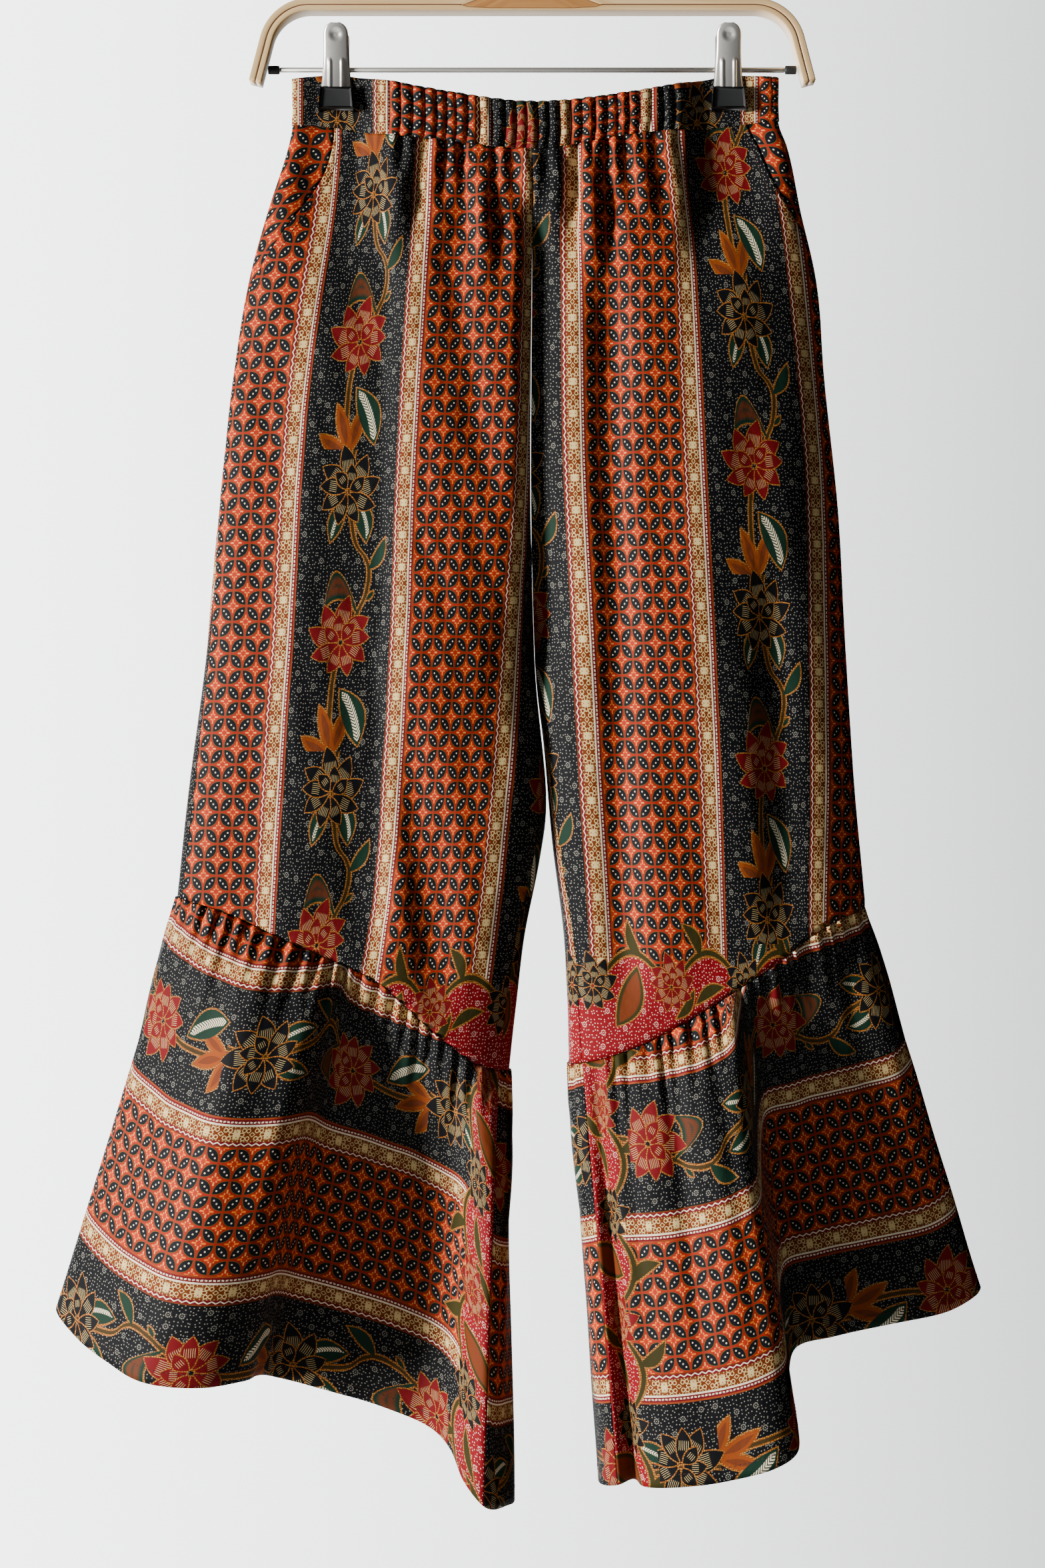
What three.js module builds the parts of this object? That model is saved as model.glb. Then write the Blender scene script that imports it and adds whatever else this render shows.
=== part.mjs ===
// Batik trousers with wide legs, an elastic waistband, slant pockets and gathered hem ruffles,
// held by two steel clips that hang from the rod of a bentwood hanger.
// Millimetres. +X is the viewer's right, -Y the front, +Z up. The origin is the inside top of the hook,
// where a rail holds it. "down" is always a distance below the origin.
import * as THREE from "three";

// Sides of the body as the viewer sees them, and faces of the garment. The values are signs on X and Y.
const LEFT = -1;
const RIGHT = 1;
const FRONT = -1;
const BACK = 1;

// Cloth and seams
const CLOTH_WALL = 1.6;
const BAND_WALL = 2.6;
const SEAM_GAP = 0.3;
const SLANTED_SEAM_GAP = 0.45; // measured straight down, on the slanted ruffle seam
const POCKET_INSET = 0.6; // how far the pocket's side piece lies behind the front
const SECTION_POWER = 2.3; // 2 gives an ellipse, more gives a squarer section

// The waist, by distance from the middle: the band's top edge and the seam below the band.
const WAIST = [
  { x: -172, top: 144, seam: 177 },
  { x: -142, top: 141.5, seam: 179 },
  { x: -115, top: 145, seam: 184 },
  { x: -62, top: 155, seam: 191 },
  { x: 0, top: 162.5, seam: 197 },
  { x: 79, top: 154, seam: 185 },
  { x: 120, top: 146, seam: 181 },
  { x: 142, top: 142, seam: 178 },
  { x: 176, top: 143, seam: 174 },
];

// The outline from the front: the side edges and the inner edges of the two legs.
const OUTLINE = [
  { down: 140, left: -172, right: 176 },
  { down: 176, left: -172, right: 177 },
  { down: 192, left: -175, right: 183 },
  { down: 240, left: -190, right: 193 },
  { down: 288, left: -203, right: 204 },
  { down: 360, left: -215, right: 210 },
  { down: 456, left: -225, right: 220 },
  { down: 552, left: -233, right: 225 },
  { down: 648, left: -245, right: 231 },
  { down: 735, left: -255, right: 239 },
];
const CROTCH_DOWN = 566;
const INNER_EDGES = [
  { down: 197, left: 0, right: 0 },
  { down: CROTCH_DOWN, left: 1.5, right: 2.5 },
  { down: 620, left: 7, right: 8.5 },
  { down: 672, left: 9, right: 13 },
  { down: 702, left: 5, right: 16 },
  { down: 770, left: -8, right: 24 },
  { down: 856, left: -17, right: 27 },
];
// Nothing of one leg crosses this line into the other.
const PARTING_LINE = [
  { down: 197, x: 0 },
  { down: CROTCH_DOWN, x: 2 },
  { down: 672, x: 11 },
  { down: 856, x: 5 },
  { down: 1180, x: 15 },
];

// How far the cloth stands out from the middle plane, at the front and at the back.
const DEPTH = [
  { down: 140, front: 10, back: 11 },
  { down: 180, front: 11, back: 13 },
  { down: 230, front: 21, back: 26 },
  { down: 300, front: 30, back: 36 },
  { down: 400, front: 36, back: 44 },
  { down: 500, front: 40, back: 50 },
  { down: CROTCH_DOWN, front: 42, back: 51 },
  { down: 660, front: 42, back: 47 },
  { down: 760, front: 40, back: 42 },
  { down: 860, front: 37, back: 38 },
];

// How far round the leg's section the side seams and inseams are turned to the front, in radians.
const SEAM_TURN = [
  { down: 176, leftOut: 0, leftIn: 0, rightOut: 0, rightIn: 0 },
  { down: 460, leftOut: 0.2, leftIn: 0, rightOut: 0, rightIn: 0 },
  { down: CROTCH_DOWN, leftOut: 0.3, leftIn: 0, rightOut: 0, rightIn: 0 },
  { down: 650, leftOut: 0.34, leftIn: 0.22, rightOut: 0, rightIn: 0.25 },
  { down: 856, leftOut: 0.34, leftIn: 0.42, rightOut: 0, rightIn: 0.5 },
];

// Where the legs end and the ruffles begin, by the share of the way from the inseam to the side seam.
const RUFFLE_SEAM = [
  { share: 0, left: 856, right: 851 },
  { share: 0.1, left: 849, right: 846 },
  { share: 0.25, left: 822, right: 834 },
  { share: 0.4, left: 791, right: 817 },
  { share: 0.55, left: 774, right: 797 },
  { share: 0.7, left: 758, right: 776 },
  { share: 0.85, left: 742, right: 753 },
  { share: 1, left: 731, right: 739 },
];

// Slant pockets: how far in from the side seam the mouth lies.
const POCKET_MOUTH = [
  { down: 170, left: 31, right: 25 },
  { down: 218, left: 34, right: 22 },
  { down: 260, left: 20, right: 11 },
  { down: 300, left: 5, right: 3 },
  { down: 312, left: 1.5, right: 1.5 },
  { down: 330, left: 0, right: 0 },
];

// Long folds. Each runs from one point to another and is a trough with its own width to either side.
const FOLDS = [
  { face: FRONT, x0: 0, down0: 205, x1: 2, down1: 600, before: 8, after: 24, depth: 15 },
  { face: FRONT, x0: 54, down0: 270, x1: 66, down1: 830, before: 15, after: 13, depth: 9 },
  { face: FRONT, x0: 168, down0: 470, x1: 180, down1: 790, before: 16, after: 14, depth: 6 },
  { face: FRONT, x0: -90, down0: 590, x1: -64, down1: 830, before: 16, after: 18, depth: 7 },
  { face: FRONT, x0: -68, down0: 190, x1: -30, down1: 460, before: 15, after: 12, depth: 5 },
  { face: FRONT, x0: 30, down0: 190, x1: 31, down1: 262, before: 7, after: 7, depth: 5 },
  { face: BACK, x0: 0, down0: 205, x1: 2, down1: 600, before: 16, after: 12, depth: 12 },
  { face: BACK, x0: -76, down0: 260, x1: -104, down1: 800, before: 15, after: 17, depth: 9 },
  { face: BACK, x0: 84, down0: 300, x1: 112, down1: 820, before: 17, after: 14, depth: 8 },
  { face: BACK, x0: 150, down0: 480, x1: 172, down1: 790, before: 14, after: 15, depth: 6 },
];
const FOLD_FADE = 70; // length over which a fold begins and ends
const FOLD_FREE_EDGE = 0.35; // share of the section's depth near a seam that stays unfolded

// Gathers: small waves side by side that fade away from the seam that holds them.
const BAND_GATHERS = { waves: 28, height: 1.5 };
const WAIST_GATHERS = { waves: 12, height: 2.4, fade: 0.17 };
const RUFFLE_GATHERS = { waves: 22, height: 2.6, fade: 0.24, puff: 4 };
const STEPS_PER_WAVE = 3;

// The hem of each ruffle, once round the leg: from the inseam over the front to the side seam, and back.
const LEFT_HEM = [
  { x: -34, y: -42, down: 1155, at: "inseam" },
  { x: -46, y: -51, down: 1141 },
  { x: -57, y: -30, down: 1122 },
  { x: -76, y: -8, down: 1112 },
  { x: -110, y: -1, down: 1100 },
  { x: -150, y: -6, down: 1088 },
  { x: -179, y: -20, down: 1077 },
  { x: -194, y: -45, down: 1069 },
  { x: -201, y: -64, down: 1067 },
  { x: -224, y: -67, down: 1068 },
  { x: -257, y: -53, down: 1065 },
  { x: -302, y: -29, down: 1055 },
  { x: -332, y: -10, down: 1040 },
  { x: -342, y: 2, down: 1033, at: "side seam" },
  { x: -344, y: 14, down: 1030 },
  { x: -324, y: 36, down: 1037 },
  { x: -264, y: 62, down: 1052 },
  { x: -216, y: 54, down: 1060 },
  { x: -188, y: 26, down: 1067 },
  { x: -142, y: 15, down: 1078 },
  { x: -106, y: 27, down: 1094 },
  { x: -86, y: 52, down: 1110 },
  { x: -58, y: 62, down: 1127 },
  { x: -29, y: 46, down: 1146 },
  { x: -13, y: 14, down: 1168 },
  { x: -19, y: -20, down: 1165 },
];
const RIGHT_HEM = [
  { x: 60, y: -48, down: 1142, at: "inseam" },
  { x: 70, y: -71, down: 1140 },
  { x: 89, y: -80, down: 1140 },
  { x: 131, y: -82, down: 1132 },
  { x: 163, y: -80, down: 1121 },
  { x: 179, y: -71, down: 1113 },
  { x: 183, y: -49, down: 1100 },
  { x: 180, y: -22, down: 1080 },
  { x: 190, y: 0, down: 1058 },
  { x: 217, y: 5, down: 1050 },
  { x: 258, y: 0, down: 1040 },
  { x: 300, y: -6, down: 1029 },
  { x: 321, y: 1, down: 1018, at: "side seam" },
  { x: 324, y: 13, down: 1014 },
  { x: 300, y: 40, down: 1022 },
  { x: 252, y: 62, down: 1036 },
  { x: 212, y: 52, down: 1051 },
  { x: 176, y: 31, down: 1071 },
  { x: 140, y: 43, down: 1090 },
  { x: 106, y: 58, down: 1108 },
  { x: 76, y: 50, down: 1126 },
  { x: 53, y: 23, down: 1143 },
  { x: 48, y: -14, down: 1149 },
];

// Rows down a leg panel and a ruffle, as shares of their length. The first rows carry the gathers.
const PANEL_FINE_ROWS = [0, 0.045, 0.1];
const PANEL_ROWS = [0.17, 0.24, 0.32, 0.42, 0.52, 0.62, 0.73, 0.86, 1];
const POCKET_ROWS = [...PANEL_FINE_ROWS, PANEL_ROWS[0], PANEL_ROWS[1]];
const PANEL_COLUMNS = 16;
const RUFFLE_FINE_ROWS = [0, 0.06, 0.15];
const RUFFLE_ROWS = [0.3, 0.48, 0.66, 0.84, 1];
const RUFFLE_COLUMNS = 28;
const POCKET_COLUMNS = 3;

// Hanger: a bent strip with a wedge let in below the hook
const STRIP = 9; // seen from the front
const STRIP_DEPTH = 16;
const BAR_TOP_DOWN = 87;
const BEND_X = 159.5; // where the straight bar ends
const BEND_RADIUS = 37; // outside of the bend
const END_LEAN = THREE.MathUtils.degToRad(14.7);
const END_LENGTH = 32; // straight stretch below the bend
const HUMP = { foot: 62, shoulder: 20, down: 70 };
const WEDGE = { foot: 46, shoulder: 15, top: 76, bottom: 94.5 };
const EDGE_ROUND = 0.9;

// Hook
const WIRE_RADIUS = 1.8;
const HOOK_RADIUS = 20; // to the wire's middle
const HOOK_END = THREE.MathUtils.degToRad(212);

// Rod, its end ferrules, and the clips that hang on it
const ROD = { down: 137, radius: 1.9, half: 181.7 };
const FERRULE = { radius: 3.1, inner: 182, outer: 190.2 };
const CLIP_X = 141; // both clips are this far from the middle
const SPRING = { inner: 2.2, outer: 3.9, half: 5 };
const PLATE_WALL = 1;
// The steel plate of a clip: half its width and how far its middle stands out from the rod.
const PLATE = [
  { down: 106, half: 3.2, out: 11.2 },
  { down: 107.4, half: 6.3, out: 10.9 },
  { down: 111, half: 8.2, out: 9.7 },
  { down: 118, half: 8.4, out: 8.1 },
  { down: 128, half: 8.7, out: 6 },
  { down: 137, half: 9.4, out: 5.1 },
  { down: 145, half: 9.9, out: 5.3 },
  { down: 151.2, half: 10.7, out: 5.8 },
];
const PLATE_COLUMNS = 6;
const RUBBER = { half: 12, top: 151.6, bottom: 166.4, inner: 3.15, outer: 9, corner: 2 };
const PINCH_FLAT = 12.5; // the band is pressed flat this far to either side of a clip
const PINCH_FREE = 42; // and is free from here on
const PINCH_END_DOWN = 300;

const COLOURS = {
  cloth: { color: 0x7a3018, roughness: 0.85, metalness: 0 },
  ruffle: { color: 0x1b1d2b, roughness: 0.85, metalness: 0 },
  wood: { color: 0xd9bd90, roughness: 0.55, metalness: 0 },
  veneer: { color: 0xb98a54, roughness: 0.5, metalness: 0 },
  steel: { color: 0xb9b9b7, roughness: 0.25, metalness: 1 },
  rubber: { color: 0x1d2022, roughness: 0.7, metalness: 0 },
};

const root = new THREE.Group();

function add(name, geometry, look) {
  const mesh = new THREE.Mesh(geometry, new THREE.MeshStandardMaterial(COLOURS[look]));
  mesh.name = name;
  root.add(mesh);
  return mesh;
}

const mix = (a, b, t) => a + (b - a) * t;
const ramp = (from, to, at) => THREE.MathUtils.smoothstep(at, from, to);
const sideName = (side) => (side === LEFT ? "left" : "right");
const faceName = (face) => (face === FRONT ? "front" : "back");

// A power that keeps the sign, for rounded sections.
function bend(value) {
  return Math.sign(value) * Math.abs(value) ** (2 / SECTION_POWER);
}

// Reads a column of a table at any place, on a smooth curve through the rows. Past its ends it stays level.
function read(table, key, column, at) {
  const last = table.length - 1;
  if (at <= table[0][key]) return table[0][column];
  if (at >= table[last][key]) return table[last][column];
  const i = table.findIndex((row) => row[key] > at) - 1;
  const slope = (a, b) => (table[b][column] - table[a][column]) / (table[b][key] - table[a][key]);
  const span = table[i + 1][key] - table[i][key];
  const here = slope(i, i + 1);
  const before = i > 0 ? (slope(i - 1, i) + here) / 2 : here;
  const after = i + 2 <= last ? (here + slope(i + 1, i + 2)) / 2 : here;
  const t = (at - table[i][key]) / span;
  const rise = table[i + 1][column] - table[i][column];
  return (
    table[i][column] +
    rise * t * t * (3 - 2 * t) +
    span * (before * t * (1 - t) ** 2 - after * t * t * (1 - t))
  );
}

// Measures a curve, given as a function of 0 to 1, so that it can be walked by distance. The walk can go
// a few steps past both ends, so that the curve's direction is true there too.
function walk(curve, steps = 140) {
  const spare = 4;
  const points = [];
  const run = [0];
  for (let i = -spare; i <= steps + spare; i++) points.push(curve(i / steps));
  for (let i = 1; i < points.length; i++) run.push(run[i - 1] + points[i].distanceTo(points[i - 1]));
  const at = (distance) => {
    const d = THREE.MathUtils.clamp(distance + run[spare], 0, run.at(-1));
    const i = Math.max(1, run.findIndex((r) => r >= d));
    const t = (d - run[i - 1]) / (run[i] - run[i - 1]);
    return points[i - 1].clone().lerp(points[i], t);
  };
  return { length: run[spare + steps] - run[spare], at };
}

// 1 under a clip's rubber and 0 where the cloth is free.
function pinch(x, down) {
  const away = Math.abs(Math.abs(x) - CLIP_X);
  const across = 1 - ramp(PINCH_FLAT, PINCH_FREE, away);
  return across * (1 - ramp(182, PINCH_END_DOWN, down));
}

function foldDepth(face, x, down) {
  let sum = 0;
  for (const fold of FOLDS) {
    if (fold.face !== face) continue;
    const along = (down - fold.down0) / (fold.down1 - fold.down0);
    if (along <= 0 || along >= 1) continue;
    const off = x - mix(fold.x0, fold.x1, along);
    const near = Math.abs(off) / (off < 0 ? fold.before : fold.after);
    const length = fold.down1 - fold.down0;
    const begins = ramp(0, Math.min(FOLD_FADE / length, 0.5), along);
    const ends = ramp(0, Math.min(FOLD_FADE / length, 0.5), 1 - along);
    sum += fold.depth * Math.exp(-near * near) * begins * ends;
  }
  return sum;
}

// The angle round the section at which a panel reaches the centre seam or, below the crotch, the inseam.
function innerAngle(down) {
  const fall = THREE.MathUtils.clamp((down - 197) / (CROTCH_DOWN - 197), 0, 1);
  return (Math.PI / 2) * (1 + fall ** 2.4);
}

// A point of the garment's section. Angle 0 is the side edge, and the angle grows over the named face.
function sectionPoint(side, face, angle, down) {
  const outer = read(OUTLINE, "down", sideName(side), down);
  const inner = read(INNER_EDGES, "down", sideName(side), down);
  const half = (outer - inner) / (1 - bend(Math.cos(innerAngle(down))));
  const x = outer - half * (1 - bend(Math.cos(angle)));
  const out = Math.abs(bend(Math.sin(angle)));
  const onFace = Math.sin(angle) >= 0 ? face : -face;
  const free = out * read(DEPTH, "down", faceName(onFace), down) * (1 - pinch(x, down));
  const closed = (BAND_WALL / 2 + SEAM_GAP / 2) * ramp(0, 0.5, out);
  const folds = foldDepth(onFace, x, down) * ramp(0, FOLD_FREE_EDGE, out);
  return new THREE.Vector3(x, onFace * Math.max(free + closed - folds, closed), -down);
}

// A row across one leg panel, from the centre seam or inseam to the side seam, at a share of its length.
function panelRow(side, face, t) {
  const name = sideName(side);
  const at = (w) => {
    let down = mix(190, 800, t);
    let angle = 0;
    for (let turn = 0; turn < 4; turn++) {
      const end = innerAngle(down);
      const turnIn = read(SEAM_TURN, "down", name + "In", down);
      const turnOut = read(SEAM_TURN, "down", name + "Out", down);
      angle = mix(end + face * turnIn, -face * turnOut, w);
      const share = 1 - (1 - bend(Math.cos(angle))) / (1 - bend(Math.cos(end)));
      const outer = side === LEFT ? WAIST[0].x : WAIST[WAIST.length - 1].x;
      const top = read(WAIST, "x", "seam", outer * share) + SEAM_GAP;
      down = mix(top, read(RUFFLE_SEAM, "share", name, share), t);
    }
    return sectionPoint(side, face, angle, down);
  };
  return walk(at);
}

// Keeps a point on its own leg's side of the parting line.
function keepApart(side, point) {
  const line = read(PARTING_LINE, "down", "x", -point.z) + (side * SEAM_GAP) / 2;
  point.x = side * Math.max(side * point.x, side * line);
}

// Joins rows of points into one closed wall. Rows may differ in their number of points.
function wallGeometry(rows, thickness, outward, limit = () => {}) {
  const positions = [];
  const faces = [];
  const push = (point, normal, by) => {
    const moved = point.clone().addScaledVector(normal, by);
    limit(moved);
    positions.push(moved.x, moved.y, moved.z);
    return positions.length / 3 - 1;
  };
  const layers = [thickness / 2, -thickness / 2].map((by) =>
    rows.map((row) => row.map(({ point, normal }) => push(point, normal, by))),
  );
  const [outer, inner] = layers;
  const triangle = (a, b, c) => faces.push(...(outward ? [a, b, c] : [a, c, b]));
  const between = (above, below, add3) => {
    let a = 0;
    let b = 0;
    while (a < above.length - 1 || b < below.length - 1) {
      const nextA = (a + 1) / (above.length - 1);
      const nextB = (b + 1) / (below.length - 1);
      if (b === below.length - 1 || (a < above.length - 1 && nextA <= nextB)) {
        add3(above[a], above[a + 1], below[b]);
        a++;
      } else {
        add3(above[a], below[b + 1], below[b]);
        b++;
      }
    }
  };
  const last = rows.length - 1;
  for (let i = 0; i < last; i++) {
    between(outer[i], outer[i + 1], triangle);
    between(inner[i], inner[i + 1], (a, b, c) => triangle(a, c, b));
    const [oa, ob, ia, ib] = [outer[i], outer[i + 1], inner[i], inner[i + 1]];
    triangle(oa[0], ob[0], ia[0]);
    triangle(ib[0], ia[0], ob[0]);
    triangle(ob.at(-1), oa.at(-1), ia.at(-1));
    triangle(ob.at(-1), ia.at(-1), ib.at(-1));
  }
  for (let j = 0; j < rows[0].length - 1; j++) {
    triangle(outer[0][j + 1], outer[0][j], inner[0][j]);
    triangle(outer[0][j + 1], inner[0][j], inner[0][j + 1]);
  }
  for (let j = 0; j < rows[last].length - 1; j++) {
    triangle(outer[last][j], outer[last][j + 1], inner[last][j]);
    triangle(inner[last][j + 1], inner[last][j], outer[last][j + 1]);
  }
  const geometry = new THREE.BufferGeometry();
  geometry.setAttribute("position", new THREE.Float32BufferAttribute(positions, 3));
  geometry.setIndex(faces);
  geometry.computeVertexNormals();
  return geometry;
}

// The outward normal where two directions in the cloth meet. A level one is used at seams across the leg.
function clothNormal(across, along, side, face, level) {
  const normal = across.clone().cross(along).multiplyScalar(side * face);
  if (level) normal.z = 0;
  return normal.normalize();
}

// Moves a point out and in with the gathers, level with the floor.
function gather(vertex, amount) {
  const level = new THREE.Vector3(vertex.normal.x, vertex.normal.y, 0).normalize();
  vertex.point.addScaledVector(level, amount);
}

// The points of a stretch of leg panel between two distances from its inner seam.
function panelVertices(side, face, t, columns, from, to, waves) {
  const step = 0.004;
  const row = panelRow(side, face, t);
  const above = panelRow(side, face, Math.max(0, t - step));
  const below = panelRow(side, face, Math.min(1, t + step));
  const [start, end] = [from(row), to(row)];
  return Array.from({ length: columns + 1 }, (_, j) => {
    const share = j / columns;
    const distance = mix(start, end, share);
    const point = row.at(distance);
    const across = row.at(distance + 1).sub(row.at(distance - 1));
    const part = distance / row.length;
    const along = below.at(part * below.length).sub(above.at(part * above.length));
    const vertex = { point, normal: clothNormal(across, along, side, face, t === 0 || t === 1) };
    if (waves) {
      const free = (1 - pinch(point.x, 182)) * Math.sin(Math.PI * share) ** 0.3;
      const height = WAIST_GATHERS.height * free * (1 - ramp(0, WAIST_GATHERS.fade, t));
      gather(vertex, height * Math.sin(2 * Math.PI * waves * share));
    }
    return vertex;
  });
}

function pocketWidth(side, row) {
  return read(POCKET_MOUTH, "down", sideName(side), -row.at(row.length).z);
}

// One leg panel. The front ones stop at the pocket mouth. Returns the row that the ruffle is sewn to.
function makeLegPanel(side, face) {
  const start = () => SEAM_GAP / 2;
  const end = (row) => row.length - SEAM_GAP / 2 - (face === FRONT ? pocketWidth(side, row) : 0);
  const fine = WAIST_GATHERS.waves * STEPS_PER_WAVE;
  const rows = [
    ...PANEL_FINE_ROWS.map((t) => panelVertices(side, face, t, fine, start, end, WAIST_GATHERS.waves)),
    ...PANEL_ROWS.map((t) => panelVertices(side, face, t, PANEL_COLUMNS, start, end, 0)),
  ];
  const geometry = wallGeometry(rows, CLOTH_WALL, side * face > 0, (p) => keepApart(side, p));
  add(`${faceName(face)}_leg_${sideName(side)}`, geometry, "cloth");
  return rows.at(-1);
}

// The piece behind a pocket mouth, from the mouth's line to the side seam.
function makePocketSide(side) {
  const start = (row) => row.length + SEAM_GAP / 2 - pocketWidth(side, row);
  const end = (row) => row.length - SEAM_GAP / 2;
  const rows = POCKET_ROWS.map((t) => {
    const vertices = panelVertices(side, FRONT, t, POCKET_COLUMNS, start, end, 0);
    vertices.forEach(({ point, normal }, j) => {
      point.addScaledVector(normal, -POCKET_INSET * (1 - j / POCKET_COLUMNS));
    });
    return vertices;
  });
  const geometry = wallGeometry(rows, CLOTH_WALL, side * FRONT > 0);
  add(`pocket_side_${sideName(side)}`, geometry, "cloth");
}

// One half of the waistband: a folded strip gathered on its elastic.
function makeWaistband(face) {
  const columns = BAND_GATHERS.waves * STEPS_PER_WAVE;
  const leftEnd = WAIST[0].x;
  const rightEnd = WAIST[WAIST.length - 1].x;
  const levels = [0, 0.5, 1];
  const rows = levels.map((t) => {
    const at = (w) => {
      const share = 2 * w - 1;
      const side = share < 0 ? LEFT : RIGHT;
      const angle = (Math.PI / 2) * (1 - Math.abs(share));
      const x = (side === LEFT ? leftEnd : rightEnd) * Math.min(1, bend(Math.cos(angle)));
      const down = mix(read(WAIST, "x", "top", x), read(WAIST, "x", "seam", x), t);
      return sectionPoint(side, face, angle, down);
    };
    const row = walk(at, 240);
    return Array.from({ length: columns + 1 }, (_, j) => {
      const share = j / columns;
      const distance = mix(SEAM_GAP / 2, row.length - SEAM_GAP / 2, share);
      const point = row.at(distance);
      const across = row.at(distance + 1).sub(row.at(distance - 1));
      const normal = clothNormal(across, new THREE.Vector3(0, 0, -1), RIGHT, face, true);
      const smoothEnd = mix(0.35, 1, ramp(-110, -80, point.x));
      const free = (1 - pinch(point.x, 0)) * smoothEnd * Math.sin(Math.PI * share) ** 0.3;
      const vertex = { point, normal };
      gather(vertex, BAND_GATHERS.height * free * Math.sin(2 * Math.PI * BAND_GATHERS.waves * share));
      return vertex;
    });
  });
  const keepOnFace = (point) => {
    point.y = face * Math.max(face * point.y, SEAM_GAP / 2);
  };
  add(`waistband_${faceName(face)}`, wallGeometry(rows, BAND_WALL, face > 0, keepOnFace), "cloth");
}

// One half of a ruffle, spread from the row of points that it is sewn to, to its hem.
function makeRuffle(side, face, seamRow) {
  const hem = side === LEFT ? LEFT_HEM : RIGHT_HEM;
  const ring = new THREE.CatmullRomCurve3(
    hem.map(({ x, y, down }) => new THREE.Vector3(x, y, -down)),
    true,
    "centripetal",
  );
  const sideSeam = hem.findIndex((point) => point.at === "side seam") / hem.length;
  const hemRow = walk((w) => ring.getPoint(face === FRONT ? w * sideSeam : 1 - w * (1 - sideSeam)));
  const last = seamRow.length - 1;
  const seamPart = (part, share) => {
    const j = Math.min(last - 1, Math.floor(share * last));
    return seamRow[j][part].clone().lerp(seamRow[j + 1][part], share * last - j);
  };
  const vertices = (t, columns, waves) =>
    Array.from({ length: columns + 1 }, (_, j) => {
      const share = j / columns;
      const top = seamPart("point", share);
      top.z -= SLANTED_SEAM_GAP;
      const distance = mix(SEAM_GAP / 2, hemRow.length - SEAM_GAP / 2, share);
      const bottom = hemRow.at(distance);
      const across = hemRow.at(distance + 1).sub(hemRow.at(distance - 1));
      const hemNormal = clothNormal(across, bottom.clone().sub(top), side, face, false);
      const normal = seamPart("normal", share).lerp(hemNormal, t).normalize();
      const vertex = { point: top.lerp(bottom, t), normal };
      const ends = Math.sin(Math.PI * share) ** 0.3;
      const { fade, height, puff } = RUFFLE_GATHERS;
      const wave = waves ? height * (1 - ramp(0, fade, t)) * Math.sin(2 * Math.PI * waves * share) : 0;
      gather(vertex, ends * (wave + puff * Math.sin(Math.PI * Math.min(1, t / 0.35))));
      return vertex;
    });
  const rows = [
    ...RUFFLE_FINE_ROWS.map((t) => vertices(t, RUFFLE_GATHERS.waves * STEPS_PER_WAVE, RUFFLE_GATHERS.waves)),
    ...RUFFLE_ROWS.map((t) => vertices(t, RUFFLE_COLUMNS, 0)),
  ];
  const geometry = wallGeometry(rows, CLOTH_WALL, side * face > 0, (p) => keepApart(side, p));
  add(`ruffle_${faceName(face)}_${sideName(side)}`, geometry, "ruffle");
}

// Extrudes an outline drawn in X and Z to the front and back of a middle plane.
function slab(shape, depth, middleY = 0, round = EDGE_ROUND) {
  const geometry = new THREE.ExtrudeGeometry(shape, {
    depth: depth - 2 * round,
    bevelSize: round,
    bevelThickness: round,
    bevelOffset: -round,
    bevelSegments: 1,
    curveSegments: 8,
  });
  geometry.rotateX(Math.PI / 2);
  geometry.translate(0, middleY + (depth - 2 * round) / 2, 0);
  return geometry;
}

function wedgeOutline(target, inset) {
  const { foot, shoulder, top, bottom } = WEDGE;
  target.moveTo(-foot + 2 * inset, -bottom + inset);
  target.lineTo(foot - 2 * inset, -bottom + inset);
  target.lineTo(shoulder, -top - inset);
  target.lineTo(-shoulder, -top - inset);
  target.closePath();
  return target;
}

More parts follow.
